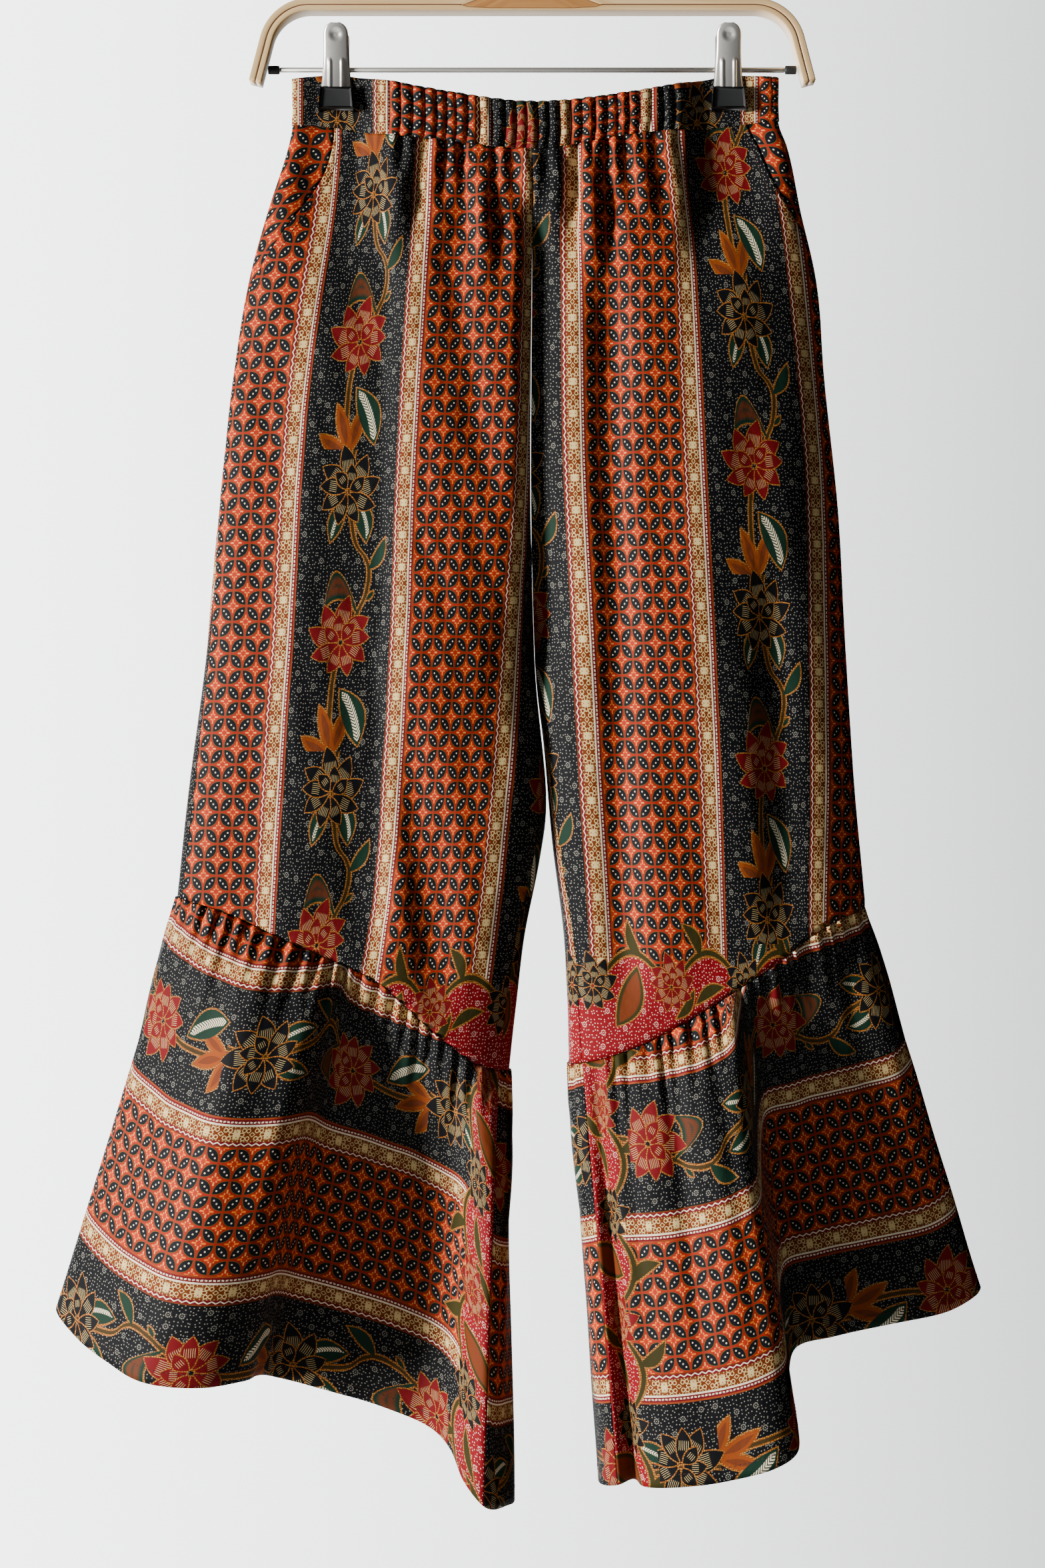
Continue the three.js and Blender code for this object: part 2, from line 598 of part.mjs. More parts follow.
function makeHangerFrame() {
  const centre = -(BAR_TOP_DOWN + BEND_RADIUS);
  const innerRadius = BEND_RADIUS - STRIP;
  const legDown = new THREE.Vector2(Math.sin(END_LEAN), -Math.cos(END_LEAN));
  const endPoint = (radius) =>
    new THREE.Vector2(BEND_X + radius * Math.cos(END_LEAN), centre + radius * Math.sin(END_LEAN)).addScaledVector(
      legDown,
      END_LENGTH,
    );
  const [outerEnd, innerEnd] = [endPoint(BEND_RADIUS), endPoint(innerRadius)];
  const shape = new THREE.Shape();
  shape.moveTo(-HUMP.shoulder, -HUMP.down);
  shape.lineTo(HUMP.shoulder, -HUMP.down);
  shape.bezierCurveTo(34, -HUMP.down, 42, -BAR_TOP_DOWN, HUMP.foot, -BAR_TOP_DOWN);
  shape.absarc(BEND_X, centre, BEND_RADIUS, Math.PI / 2, END_LEAN, true);
  shape.lineTo(outerEnd.x, outerEnd.y);
  shape.lineTo(innerEnd.x, innerEnd.y);
  shape.absarc(BEND_X, centre, innerRadius, END_LEAN, Math.PI / 2, false);
  shape.absarc(-BEND_X, centre, innerRadius, Math.PI / 2, Math.PI - END_LEAN, false);
  shape.lineTo(-innerEnd.x, innerEnd.y);
  shape.lineTo(-outerEnd.x, outerEnd.y);
  shape.absarc(-BEND_X, centre, BEND_RADIUS, Math.PI - END_LEAN, Math.PI / 2, true);
  shape.lineTo(-HUMP.foot, -BAR_TOP_DOWN);
  shape.bezierCurveTo(-42, -BAR_TOP_DOWN, -34, -HUMP.down, -HUMP.shoulder, -HUMP.down);
  shape.holes.push(wedgeOutline(new THREE.Path(), 0));
  add("hanger_frame", slab(shape, STRIP_DEPTH), "wood");
  const wedge = wedgeOutline(new THREE.Shape(), SEAM_GAP + EDGE_ROUND);
  add("hanger_wedge", slab(wedge, STRIP_DEPTH - 0.6, 0, 0.3), "veneer");
}

function makeHook() {
  const middle = WIRE_RADIUS - HOOK_RADIUS;
  const points = [new THREE.Vector3(0, 0, -HUMP.down + SEAM_GAP), new THREE.Vector3(0, 0, -58)];
  const steps = 16;
  for (let i = 0; i <= steps; i++) {
    const angle = mix(THREE.MathUtils.degToRad(-48), HOOK_END, i / steps);
    points.push(new THREE.Vector3(HOOK_RADIUS * Math.cos(angle), 0, middle + HOOK_RADIUS * Math.sin(angle)));
  }
  const section = new THREE.Shape().absarc(0, 0, WIRE_RADIUS, 0, 2 * Math.PI);
  const geometry = new THREE.ExtrudeGeometry(section, {
    steps: 40,
    curveSegments: 4,
    extrudePath: new THREE.CatmullRomCurve3(points, false, "centripetal"),
  });
  add("hook", geometry, "steel");
}

// A round bar or ring along X.
function barAlongX(from, to, radius, hole, segments) {
  const profile = [
    new THREE.Vector2(hole, from),
    new THREE.Vector2(radius, from),
    new THREE.Vector2(radius, to),
    new THREE.Vector2(hole, to),
  ];
  if (hole > 0) profile.push(profile[0].clone());
  const geometry = new THREE.LatheGeometry(profile, segments);
  geometry.rotateZ(-Math.PI / 2);
  geometry.translate(0, 0, -ROD.down);
  return geometry;
}

function makeRod() {
  add("rod", barAlongX(-ROD.half, ROD.half, ROD.radius, 0, 12), "steel");
  for (const side of [LEFT, RIGHT]) {
    const [from, to] = side === LEFT ? [-FERRULE.outer, -FERRULE.inner] : [FERRULE.inner, FERRULE.outer];
    add(`ferrule_${sideName(side)}`, barAlongX(from, to, FERRULE.radius, 0, 12), "rubber");
  }
}

// One steel plate of a clip, bent so that its handle stands off and its jaw closes.
function makeClipPlate(side, face) {
  const rows = PLATE.map(({ down, half, out }) =>
    Array.from({ length: PLATE_COLUMNS + 1 }, (_, j) => {
      const across = mix(-half, half, j / PLATE_COLUMNS);
      const curl = 1.3 * (across / 9) ** 2;
      const point = new THREE.Vector3(side * CLIP_X + across, face * (out - curl), -down);
      return { point, normal: new THREE.Vector3(0, face, 0) };
    }),
  );
  const geometry = wallGeometry(rows, PLATE_WALL, face > 0);
  add(`clip_${sideName(side)}_plate_${faceName(face)}`, geometry, "steel");
}

function makeClipRubber(side, face) {
  const { half, top, bottom, inner, outer, corner } = RUBBER;
  const [left, right] = [side * CLIP_X - half, side * CLIP_X + half];
  const shape = new THREE.Shape();
  shape.moveTo(left + 1.2, -top);
  shape.lineTo(right - 1.2, -top);
  shape.lineTo(right, -bottom + corner);
  shape.absarc(right - corner, -bottom + corner, corner, 0, -Math.PI / 2, true);
  shape.absarc(left + corner, -bottom + corner, corner, -Math.PI / 2, -Math.PI, true);
  shape.closePath();
  const geometry = slab(shape, outer - inner, (face * (outer + inner)) / 2, 0.7);
  add(`clip_${sideName(side)}_rubber_${faceName(face)}`, geometry, "rubber");
}

function makeClip(side) {
  const x = side * CLIP_X;
  const spring = barAlongX(x - SPRING.half, x + SPRING.half, SPRING.outer, SPRING.inner, 14);
  add(`clip_${sideName(side)}_spring`, spring, "steel");
  for (const face of [FRONT, BACK]) {
    makeClipPlate(side, face);
    makeClipRubber(side, face);
  }
}

makeHangerFrame();
makeHook();
makeRod();
for (const side of [LEFT, RIGHT]) makeClip(side);
for (const face of [FRONT, BACK]) makeWaistband(face);
for (const side of [LEFT, RIGHT]) {
  for (const face of [FRONT, BACK]) {
    const seamRow = makeLegPanel(side, face);
    makeRuffle(side, face, seamRow);
  }
  makePocketSide(side);
}

export default root;
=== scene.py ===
import math

import bmesh
import bpy
import numpy as np
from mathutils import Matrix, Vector


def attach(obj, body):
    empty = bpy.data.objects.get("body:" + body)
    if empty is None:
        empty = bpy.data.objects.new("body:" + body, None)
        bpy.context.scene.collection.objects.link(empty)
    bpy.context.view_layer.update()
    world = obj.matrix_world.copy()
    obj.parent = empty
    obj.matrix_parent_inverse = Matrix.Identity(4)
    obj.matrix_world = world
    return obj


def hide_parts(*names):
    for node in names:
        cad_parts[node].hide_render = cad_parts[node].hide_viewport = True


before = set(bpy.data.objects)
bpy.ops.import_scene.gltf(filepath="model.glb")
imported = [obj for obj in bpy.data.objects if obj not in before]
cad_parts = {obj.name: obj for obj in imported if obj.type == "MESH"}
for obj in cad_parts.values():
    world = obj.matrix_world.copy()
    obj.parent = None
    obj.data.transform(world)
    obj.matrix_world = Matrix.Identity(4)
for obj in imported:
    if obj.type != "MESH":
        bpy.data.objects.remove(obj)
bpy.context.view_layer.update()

MM = 0.001  # the sizes below are in millimetres; every mesh is made in metres

# Sides as the viewer sees them, and faces of the garment. The values are signs on X and Y.
LEFT, RIGHT = -1, 1
FRONT, BACK = -1, 1
SIDE_NAME = {LEFT: "left", RIGHT: "right"}
FACE_NAME = {FRONT: "front", BACK: "back"}


def table(columns, rows):
    """A short table with named columns."""
    return {name: np.array([row[i] for row in rows], float) for i, name in enumerate(columns.split())}


def records(columns, rows):
    """A short table as rows with named values."""
    return [dict(zip(columns.split(), row)) for row in rows]


# Camera: level, square to the garment's middle plane
CAMERA_X = -7
CAMERA_DOWN = 651
CAMERA_DISTANCE = 1850
VIEW_HEIGHT = 1129  # what the picture's long side spans at the garment's middle plane

# Surroundings
WORLD_BEHIND = 3.1  # strength of the light straight behind the object
WORLD_FRONT = 0.06  # and on the viewer's side
WORLD_RISE = (1.39, -0.28)  # how it grows towards the back: slope and start
WORLD_LEAN = -2.6  # how it grows towards the left
FLOOR_DOWN = 1850
FLOOR_RADIUS = 1900
MIDDLE = (0, 0, -0.65)  # what the lights point at; this and the lights are in metres
LIGHTS = records("name place size energy tone", [
    ("window", (-4.8, -2.1, -0.4), (1.0, 1.8), 930, (1, 0.98, 0.95)),
    ("fill", (-0.4, -2.8, -0.3), (1.8, 1.8), 1.5, (1, 1, 1)),
])

# Cloth
CLOTH = 0.9
BAND_CLOTH = 2.4
BAND_WALL = 2.6  # the waistband's thickness on the solids, which keeps its front and back apart
SEAM_GAP = 0.08
SLANTED_SEAM_GAP = 0.45
POCKET_INSET = 0.9
HEM_STITCH = 9  # how far the hem's stitching lies from the edge
MOUTH_STITCH = 5  # and a pocket mouth's stitching from its edge
THREAD_LIFT = 0.08
SECTION_POWER = 2.8  # fullness of a leg's section: 2 is an ellipse

WAIST = table("x top seam", [
    (-172, 144, 177), (-142, 141.5, 179), (-115, 145, 184), (-62, 155, 191), (0, 162.5, 197),
    (79, 154, 185), (120, 146, 181), (142, 142, 178), (176, 143, 174),
])
OUTLINE = table("down left right", [
    (140, -172, 176), (176, -172, 177), (192, -175, 183), (240, -190, 193), (288, -203, 204),
    (360, -215, 210), (456, -225, 220), (552, -233, 225), (648, -245, 231), (735, -255, 239),
])
SEAM_TOP = 197
CROTCH_DOWN = 566
INNER_EDGES = table("down left right", [
    (197, 0, 0), (CROTCH_DOWN, 1.5, 2.5), (620, 7, 8.5), (672, 9, 13), (702, 5, 16),
    (770, -8, 24), (856, -17, 27),
])
PARTING_LINE = table("down x", [(197, 0), (CROTCH_DOWN, 2), (672, 11), (856, 5), (1180, 15)])
DEPTH = table("down front back", [
    (140, 10, 11), (180, 11, 13), (230, 21, 26), (300, 30, 36), (400, 36, 44), (500, 40, 50),
    (CROTCH_DOWN, 42, 51), (660, 42, 47), (760, 40, 42), (860, 37, 38),
])
SEAM_TURN = table("down left_out left_in right_out right_in", [
    (176, 0, 0, 0, 0), (460, 0.2, 0, 0, 0), (CROTCH_DOWN, 0.3, 0, 0, 0),
    (650, 0.34, 0.22, 0, 0.25), (856, 0.34, 0.42, 0, 0.5),
])
RUFFLE_SEAM = table("share left right", [
    (0, 856, 851), (0.1, 849, 846), (0.25, 822, 834), (0.4, 791, 817),
    (0.55, 774, 797), (0.7, 758, 776), (0.85, 742, 753), (1, 731, 739),
])
POCKET_MOUTH = table("down left right", [
    (170, 31, 25), (218, 34, 22), (260, 20, 11), (300, 5, 3), (312, 1.5, 1.5), (330, 0, 0),
])

# Long folds: troughs that run from one point to another, with their own width to either side.
FOLD_COLUMNS = "x0 down0 x1 down1 before after depth"
FOLDS = {
    FRONT: records(FOLD_COLUMNS, [
        (0, 205, 2, 600, 8, 24, 15), (54, 270, 66, 830, 15, 13, 9), (168, 470, 180, 790, 16, 14, 6),
        (-90, 590, -64, 830, 16, 18, 7), (-68, 190, -30, 460, 15, 12, 5), (30, 190, 31, 262, 7, 7, 5),
        (-106, 235, -116, 800, 46, 14, 11), (-176, 300, -206, 800, 34, 18, 6),
        (205, 250, 232, 800, 70, 20, 9),
    ]),
    BACK: records(FOLD_COLUMNS, [
        (0, 205, 2, 600, 16, 12, 12), (-76, 260, -104, 800, 15, 17, 9), (84, 300, 112, 820, 17, 14, 8),
        (150, 480, 172, 790, 14, 15, 6),
    ]),
}
FOLD_FADE = 70
FOLD_FREE_EDGE = 0.35

# Pleats under the waistband: each begins at the seam and fades downwards, drifting sideways as it goes.
PLEAT_COLUMNS = "x length half depth drift"
WAIST_PLEATS = {
    FRONT: records(PLEAT_COLUMNS, [
        (-128, 60, 4, 1.4, -4), (-108, 95, 6, 1.6, -7), (-92, 50, 4, 1.7, -2),
        (-78, 120, 5, 2.2, -9), (-62, 70, 4, 2.0, -3), (-50, 105, 5, 2.7, 4),
        (-38, 60, 3.6, 2.2, 2), (-27, 130, 4.6, 3.4, 7), (-15, 90, 4.2, 3.2, 4),
        (11, 60, 3.6, 2.4, 1), (21, 100, 4.2, 2.8, 3), (31, 120, 4.6, 3.6, 0),
        (42, 55, 3.6, 2.0, 3), (53, 125, 4.6, 3.6, 3), (65, 80, 4.4, 3.2, 5),
        (77, 55, 3.6, 1.9, 2), (88, 95, 5, 2.1, 7), (102, 60, 4, 1.6, 4),
        (116, 75, 5, 1.3, 6), (131, 45, 4, 1.2, 2),
    ]),
    BACK: records(PLEAT_COLUMNS, [
        (-136, 60, 4, 1.5, -3), (-118, 90, 5, 2.0, -6), (-103, 55, 4, 1.8, -2),
        (-90, 120, 5, 2.8, -8), (-76, 65, 4, 2.2, -2), (-63, 100, 5, 3.0, -5),
        (-49, 130, 4.6, 3.0, -3), (-36, 70, 4, 2.6, 1), (-24, 110, 4.6, 3.3, 3),
        (-11, 60, 3.8, 2.4, 0), (12, 95, 4.4, 3.0, 2), (25, 60, 4, 2.4, 2),
        (38, 130, 5, 3.2, 6), (52, 75, 4, 2.4, 3), (66, 105, 5, 2.9, 6),
        (81, 60, 4, 2.0, 2), (95, 115, 5, 2.6, 9), (110, 70, 4, 1.8, 4),
        (126, 50, 4, 1.5, 3),
    ]),
}
PLEAT_DEPTH = 2.1  # all pleats are this much deeper than listed
GATHER_PITCH = 10.5  # the closer gathers among the pleats
GATHER_DEPTH = 2.4

# The hems as closed lines (x, y, down), from the inseam over the front to the side seam and back.
HEM = {
    LEFT: [
        (-34, -58, 1155), (-47, -50, 1141), (-58, -28, 1122), (-76, -3, 1112), (-110, 5, 1100),
        (-150, 4, 1088), (-186, -3, 1077), (-195, -34, 1069), (-201, -60, 1067), (-228, -76, 1068),
        (-266, -76, 1065), (-304, -42, 1055), (-332, -12, 1040), (-342, 2, 1033), (-344, 14, 1030),
        (-324, 36, 1037), (-264, 62, 1052), (-216, 56, 1060), (-188, 32, 1067), (-142, 20, 1078),
        (-106, 27, 1094), (-86, 52, 1110), (-58, 62, 1127), (-29, 46, 1146), (-13, 14, 1168),
        (-19, -20, 1165),
    ],
    RIGHT: [
        (60, -50, 1142), (71, -42, 1140), (78, -62, 1140), (96, -72, 1138), (131, -80, 1132),
        (166, -87, 1121),
        (181, -80, 1113), (185, -52, 1100), (183, -18, 1080), (190, 2, 1058), (217, 5, 1050),
        (258, 0, 1040), (300, -6, 1029), (321, 1, 1018), (324, 13, 1014), (300, 40, 1022),
        (252, 62, 1036), (212, 52, 1051), (176, 31, 1071), (140, 43, 1090), (106, 58, 1108),
        (76, 50, 1126), (53, 23, 1143), (48, -14, 1149),
    ],
}
SIDE_SEAM_POINT = 13  # which hem point lies at the side seam; the first is the inseam
RUFFLE_PUFF = 4
FOLD_WALL = 0.2  # how much of the seam a ruffle fold's side wall takes up, for its depth
RUFFLE_GATHER, RUFFLE_GATHER_DEPTH = 12.5, 2.3  # gathers below the seam
RUFFLE_TUCK, RUFFLE_TUCK_DEPTH = 6.1, 0.8  # the finer ones right at it
RUFFLE_FLUTE, RUFFLE_FLUTE_DEPTH = 37, 1.8  # the wide ones further down

BAND_GATHER, BAND_GATHER_DEPTH = 8.2, 4.2  # gathers of the elastic waistband
BAND_CREASE = 23
BAND_ROUNDING = 1.1

# Print: bands across the cloth, repeated, and the lines where it is anchored on each front leg.
BAND = 90  # width of a band of small leaves or of flowers
BORDER = 21
PERIOD = 2 * (BAND + BORDER)
VINE_PERIOD = 214


def border_centre(index):
    """Distance across the cloth of the middle of a border. Border 0 follows the first leaf band."""
    return BAND + BORDER / 2 + index * (BAND + BORDER)


# Where the middles of three borders lie on each front leg, as seen in the picture.
STRIPES = {
    LEFT: table("down a b c", [
        (190, -144, -77, 1), (244, -149, -80, -1), (312, -160, -84, -3.5), (369, -167.5, -87.5, -5),
        (448, -174, -91.5, -8), (538, -179, -94.5, -14), (623, -185, -99, -20), (736, -191.5, -108, -31),
        (798, -194, -118, -39), (860, -196, -125, -46),
    ]),
    RIGHT: table("down a b c", [
        (190, 30, 102, 178), (256, 30, 109, 187), (312, 30, 112, 193.5), (425, 31.5, 117, 203.5),
        (538, 37, 123, 206.5), (651, 43, 128.5, 207.5), (736, 48.5, 131.5, 206), (800, 52, 134, 205),
        (860, 55, 136, 204),
    ]),
}
FIRST_BORDER = {LEFT: 0, RIGHT: 1}  # which border column a of the table above is

RED_END = 28  # the red end strip beside each ruffle's inseam is this wide
VINE_TOP = {LEFT: 806, RIGHT: 788}  # how far down the red end begins on each leg
RUFFLE_PRINT = {LEFT: 143, RIGHT: 391}  # across the bands at the hem
RUFFLE_FLAT = {FRONT: 415, BACK: 400}  # flat width of a ruffle's print
BACK_PRINT = {LEFT: 590, RIGHT: 480}  # across the bands at the middle of a back leg
PRINT_SPREAD = 1.12  # flat cloth to one of hung cloth, beyond the anchored lines

# Waistband print anchors: where the middle of each border lies.
BAND_STRIPES = table("x border", [
    (-171, 0), (-107.5, 1), (-34.5, 2), (24, 3), (82, 4), (157, 5),
])


def smooth(at, low, high):
    """0 below the low value and 1 above the high one, with a soft rise between."""
    t = np.clip((np.asarray(at, float) - low) / (high - low), 0, 1)
    return t * t * (3 - 2 * t)


def mix(a, b, t):
    return a + (b - a) * t


def read(rows, key, column, at):
    """A table's column at any place, on a smooth curve through the rows and level past its ends."""
    xs, ys = rows[key], rows[column]
    at = np.clip(np.asarray(at, float), xs[0], xs[-1])
    i = np.clip(np.searchsorted(xs, at, side="right") - 1, 0, len(xs) - 2)
    slope = np.diff(ys) / np.diff(xs)
    ends = np.concatenate(([slope[0]], (slope[:-1] + slope[1:]) / 2, [slope[-1]]))
    span = xs[i + 1] - xs[i]
    t = (at - xs[i]) / span
    rise = ys[i + 1] - ys[i]
    bow = ends[i] * t * (1 - t) ** 2 - ends[i + 1] * t * t * (1 - t)
    return ys[i] + rise * t * t * (3 - 2 * t) + span * bow


def bend(value):
    """Turns a sine or cosine into that of the fuller section."""
    return np.sign(value) * np.abs(value) ** (2 / SECTION_POWER)


CLIP_X = 141  # how far each clip sits from the middle
PINCH_FLAT = 12.5  # half the width that a clip holds flat
PINCH_FREE = 42
PINCH_DOWN, PINCH_END_DOWN = 182, 300


def pinch(x, down):
    """1 under a clip's rubber and 0 where the cloth is free."""
    across = 1 - smooth(np.abs(np.abs(x) - CLIP_X), PINCH_FLAT, PINCH_FREE)
    return across * (1 - smooth(down, PINCH_DOWN, PINCH_END_DOWN))


def fold_depth(face, x, down):
    """How deep the long folds are at a place."""
    total = np.zeros(np.broadcast(x, down).shape)
    for f in FOLDS[face]:
        length = f["down1"] - f["down0"]
        along = (down - f["down0"]) / length
        off = x - mix(f["x0"], f["x1"], along)
        near = np.abs(off) / np.where(off < 0, f["before"], f["after"])
        fade = min(FOLD_FADE / length, 0.5)
        total += f["depth"] * np.exp(-near * near) * smooth(along, 0, fade) * smooth(1 - along, 0, fade)
    return total


def inner_angle(down):
    """The section's angle at a leg's inner seam: the middle above the crotch, the far edge below."""
    fall = np.clip((down - SEAM_TOP) / (CROTCH_DOWN - SEAM_TOP), 0, 1)
    return (math.pi / 2) * (1 + fall**2.4)


def section_point(side, face, angle, down):
    """Points of the garment's section. Angle 0 is the side edge, and it grows over the named face."""
    outer = read(OUTLINE, "down", SIDE_NAME[side], down)
    inner = read(INNER_EDGES, "down", SIDE_NAME[side], down)
    half = (outer - inner) / (1 - bend(np.cos(inner_angle(down))))
    x = outer - half * (1 - bend(np.cos(angle)))
    out = np.abs(bend(np.sin(angle)))
    on_face = np.where(np.sin(angle) >= 0, face, -face)
    depths = [read(DEPTH, "down", FACE_NAME[f], down) for f in (FRONT, BACK)]
    depth = np.where(on_face == FRONT, *depths)
    free = out * depth * (1 - pinch(x, down))
    closed = (BAND_WALL / 2 + SEAM_GAP / 2) * smooth(out, 0, 0.5)
    folds = np.where(on_face == FRONT, fold_depth(FRONT, x, down), fold_depth(BACK, x, down))
    y = on_face * np.maximum(free + closed - folds * smooth(out, 0, FOLD_FREE_EDGE), closed)
    return np.stack(np.broadcast_arrays(x, y, -down), axis=-1)


def panel_field(side, face, rows, steps=260):
    """Points of a leg panel, from its inner seam to its side seam, for each share of its length."""
    name = SIDE_NAME[side]
    t = np.asarray(rows, float)[:, None]
    w = np.linspace(0, 1, steps + 1)[None, :]
    down = mix(190.0, 800.0, t) * np.ones_like(w)  # a first guess, made exact in a few rounds
    outer_x = WAIST["x"][0] if side == LEFT else WAIST["x"][-1]
    for _ in range(4):
        end = inner_angle(down)
        turn_in = read(SEAM_TURN, "down", name + "_in", down)
        turn_out = read(SEAM_TURN, "down", name + "_out", down)
        angle = mix(end + face * turn_in, -face * turn_out, w)
        share = 1 - (1 - bend(np.cos(angle))) / (1 - bend(np.cos(end)))
        top = read(WAIST, "x", "seam", outer_x * share) + SEAM_GAP
        down = mix(top, read(RUFFLE_SEAM, "share", name, share), t)
    return section_point(side, face, angle, down)


def arc(points, axis=1):
    """Distance along each line of points."""
    step = np.linalg.norm(np.diff(points, axis=axis), axis=-1)
    start = np.zeros_like(np.take(step, [0], axis=axis))
    return np.concatenate((start, np.cumsum(step, axis=axis)), axis=axis)


def follow(at, known, line):
    """Points of a line where a known measure along it has the given values."""
    return np.stack([np.interp(at, known, line[:, k]) for k in range(3)], axis=-1)


def resample(points, start, end, columns):
    """Evenly spaced points on each row between two distances from its ends."""
    run = arc(points)
    rows = []
    for i, row in enumerate(points):
        rows.append(follow(np.linspace(start[i], run[i, -1] - end[i], columns + 1), run[i], row))
    return np.array(rows)


def unit(vectors):
    return vectors / np.maximum(np.linalg.norm(vectors, axis=-1, keepdims=True), 1e-9)


def grid_normals(points, outward, level_rows=()):
    """Directions square to a grid of points. Those of the named rows are level."""
    normal = np.cross(np.gradient(points, axis=1), np.gradient(points, axis=0)) * outward
    for i in level_rows:
        normal[i, :, 2] = 0
    return unit(normal)


def soft_noise(u, v, seed, size, height):
    """Slow, even unevenness: a few crossing waves with lengths around the given size."""
    rng = np.random.default_rng(seed)
    total = 0
    for _ in range(5):
        turn = rng.uniform(-0.5, 0.5)
        length = size * rng.uniform(0.6, 1.7)
        phase = rng.uniform(0, 2 * math.pi)
        total = total + np.sin(2 * math.pi * (u * math.cos(turn) + v * math.sin(turn)) / length + phase)
    return height * total / 5


def keep_apart(side, points):
    """Keeps points on their own leg's side of the parting line."""
    line = read(PARTING_LINE, "down", "x", -points[..., 2]) + side * SEAM_GAP / 2
    points[..., 0] = side * np.maximum(side * points[..., 0], side * line)
    return points


def face_outward(mesh):
    """Turns the faces of a closed mesh over if they face inward."""
    net = bmesh.new()
    net.from_mesh(mesh)
    if net.calc_volume(signed=True) < 0:
        bmesh.ops.reverse_faces(net, faces=net.faces)
        net.to_mesh(mesh)
    net.free()


def add_object(name, data, material=None):
    if material is not None:
        data.materials.append(material)
    obj = bpy.data.objects.new(name, data)
    bpy.context.scene.collection.objects.link(obj)
    return obj


def mesh_object(name, vertices, faces, uv=None, material=None):
    """A closed smooth mesh from points in millimetres, with print coordinates for its points."""
    mesh = bpy.data.meshes.new(name)
    mesh.from_pydata((np.asarray(vertices) * MM).tolist(), [], faces)
    face_outward(mesh)
    if uv is not None:
        layer = mesh.uv_layers.new(name="print")
        corner = np.empty(len(mesh.loops), np.int32)
        mesh.loops.foreach_get("vertex_index", corner)
        layer.data.foreach_set("uv", (np.asarray(uv)[corner] * MM).astype(np.float32).ravel())
    mesh.polygons.foreach_set("use_smooth", np.ones(len(mesh.polygons), bool))
    return add_object(name, mesh, material)


def quads(number):
    """Faces over a grid of vertex numbers."""
    corners = number[:-1, :-1], number[:-1, 1:], number[1:, 1:], number[1:, :-1]
    return np.stack(corners, axis=-1).reshape(-1, 4)


def tube_faces(rings, sides, base=0):
    """Faces of a closed tube of rings of vertices, numbered from base, with a face at each end."""
    number = base + np.arange(rings * sides).reshape(rings, sides)
    around = np.pad(number, ((0, 0), (0, 1)), mode="wrap")
    return quads(around).tolist() + [number[0][::-1].tolist(), number[-1].tolist()]


def shell(name, points, normals, thickness, uv, materials, limit=None):
    """A closed thin shell on a grid of points. A second material is for its inner side."""
    layers = [points + normals * thickness / 2, points - normals * thickness / 2]
    if limit is not None:
        layers = [limit(layer) for layer in layers]
    count = points.shape[0] * points.shape[1]
    number = np.arange(count).reshape(points.shape[:2])
    below = number + count
    edges = [
        (below[0], number[0]), (number[-1], below[-1]),
        (number[:, 0], below[:, 0]), (below[:, -1], number[:, -1]),
    ]
    sides = [quads(number), quads(below[:, ::-1])]
    faces = np.concatenate(sides + [quads(np.stack(pair)) for pair in edges]).tolist()
    vertices = np.concatenate([layer.reshape(-1, 3) for layer in layers])
    if uv is not None:
        uv = np.concatenate([uv.reshape(-1, 2)] * 2)
    obj = mesh_object(name, vertices, faces, uv, materials[0])
    if len(materials) > 1:
        obj.data.materials.append(materials[1])
        index = np.zeros(len(faces), np.int32)
        index[len(sides[0]) : 2 * len(sides[0])] = 1
        obj.data.polygons.foreach_set("material_index", index)
    return obj


def stand_for(obj, node):
    """Attaches a piece to the root body and hides the solid it stands for, if any."""
    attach(obj, "root")
    if node:
        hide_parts(node)
    return obj


def cloth_piece(name, points, normals, thickness, uv, limit):
    """A cloth shell that stands for the solid of its name."""
    obj = stand_for(shell(name, points, normals, thickness, uv, cloth_materials, limit), name)


def panel_rows(seam_rows, rows):
    """Shares of a panel's length, closer together near the seam where the pleats begin."""
    near = np.linspace(0, 0.18, seam_rows, endpoint=False)
    return np.concatenate((near, np.linspace(0.18, 1, rows)))


def pleats(face, points, down_from_seam):
    """How far the waist's pleats and gathers sink the cloth."""
    x = points[..., 0]
    total = np.zeros(x.shape)
    for p in WAIST_PLEATS[face]:
        t = np.clip(down_from_seam / p["length"], 0, 1)
        off = (x - p["x"] - p["drift"] * t) / (p["half"] * (1 + 0.9 * t))
        fade = mix(0.6, 1, smooth(down_from_seam, 0, 14)) * (1 - smooth(t, 0.25, 1))
        shape = np.exp(-off * off) - 0.5 * np.exp(-((np.abs(off) - 1.9) ** 2))
        total += PLEAT_DEPTH * p["depth"] * fade * shape
    reach = 48 + 22 * soft_noise(x, 0, 21 + face, 24, 1)
    warp = soft_noise(x, 0, 23 + face, 40, 3.5)
    gather = 0.5 - np.abs(np.sin(math.pi * (x + warp) / GATHER_PITCH)) ** 0.8
    total += GATHER_DEPTH * gather * (1 - smooth(down_from_seam, 0, np.maximum(reach, 20))) ** 1.5
    return total * (1 - pinch(x, PINCH_DOWN))


def pocket_width(side, down):
    return read(POCKET_MOUTH, "down", SIDE_NAME[side], down)


def free_between_seams(share):
    """1 over a piece's middle and 0 at its seams, where the cloth is held."""
    return np.sin(math.pi * share) ** 0.3


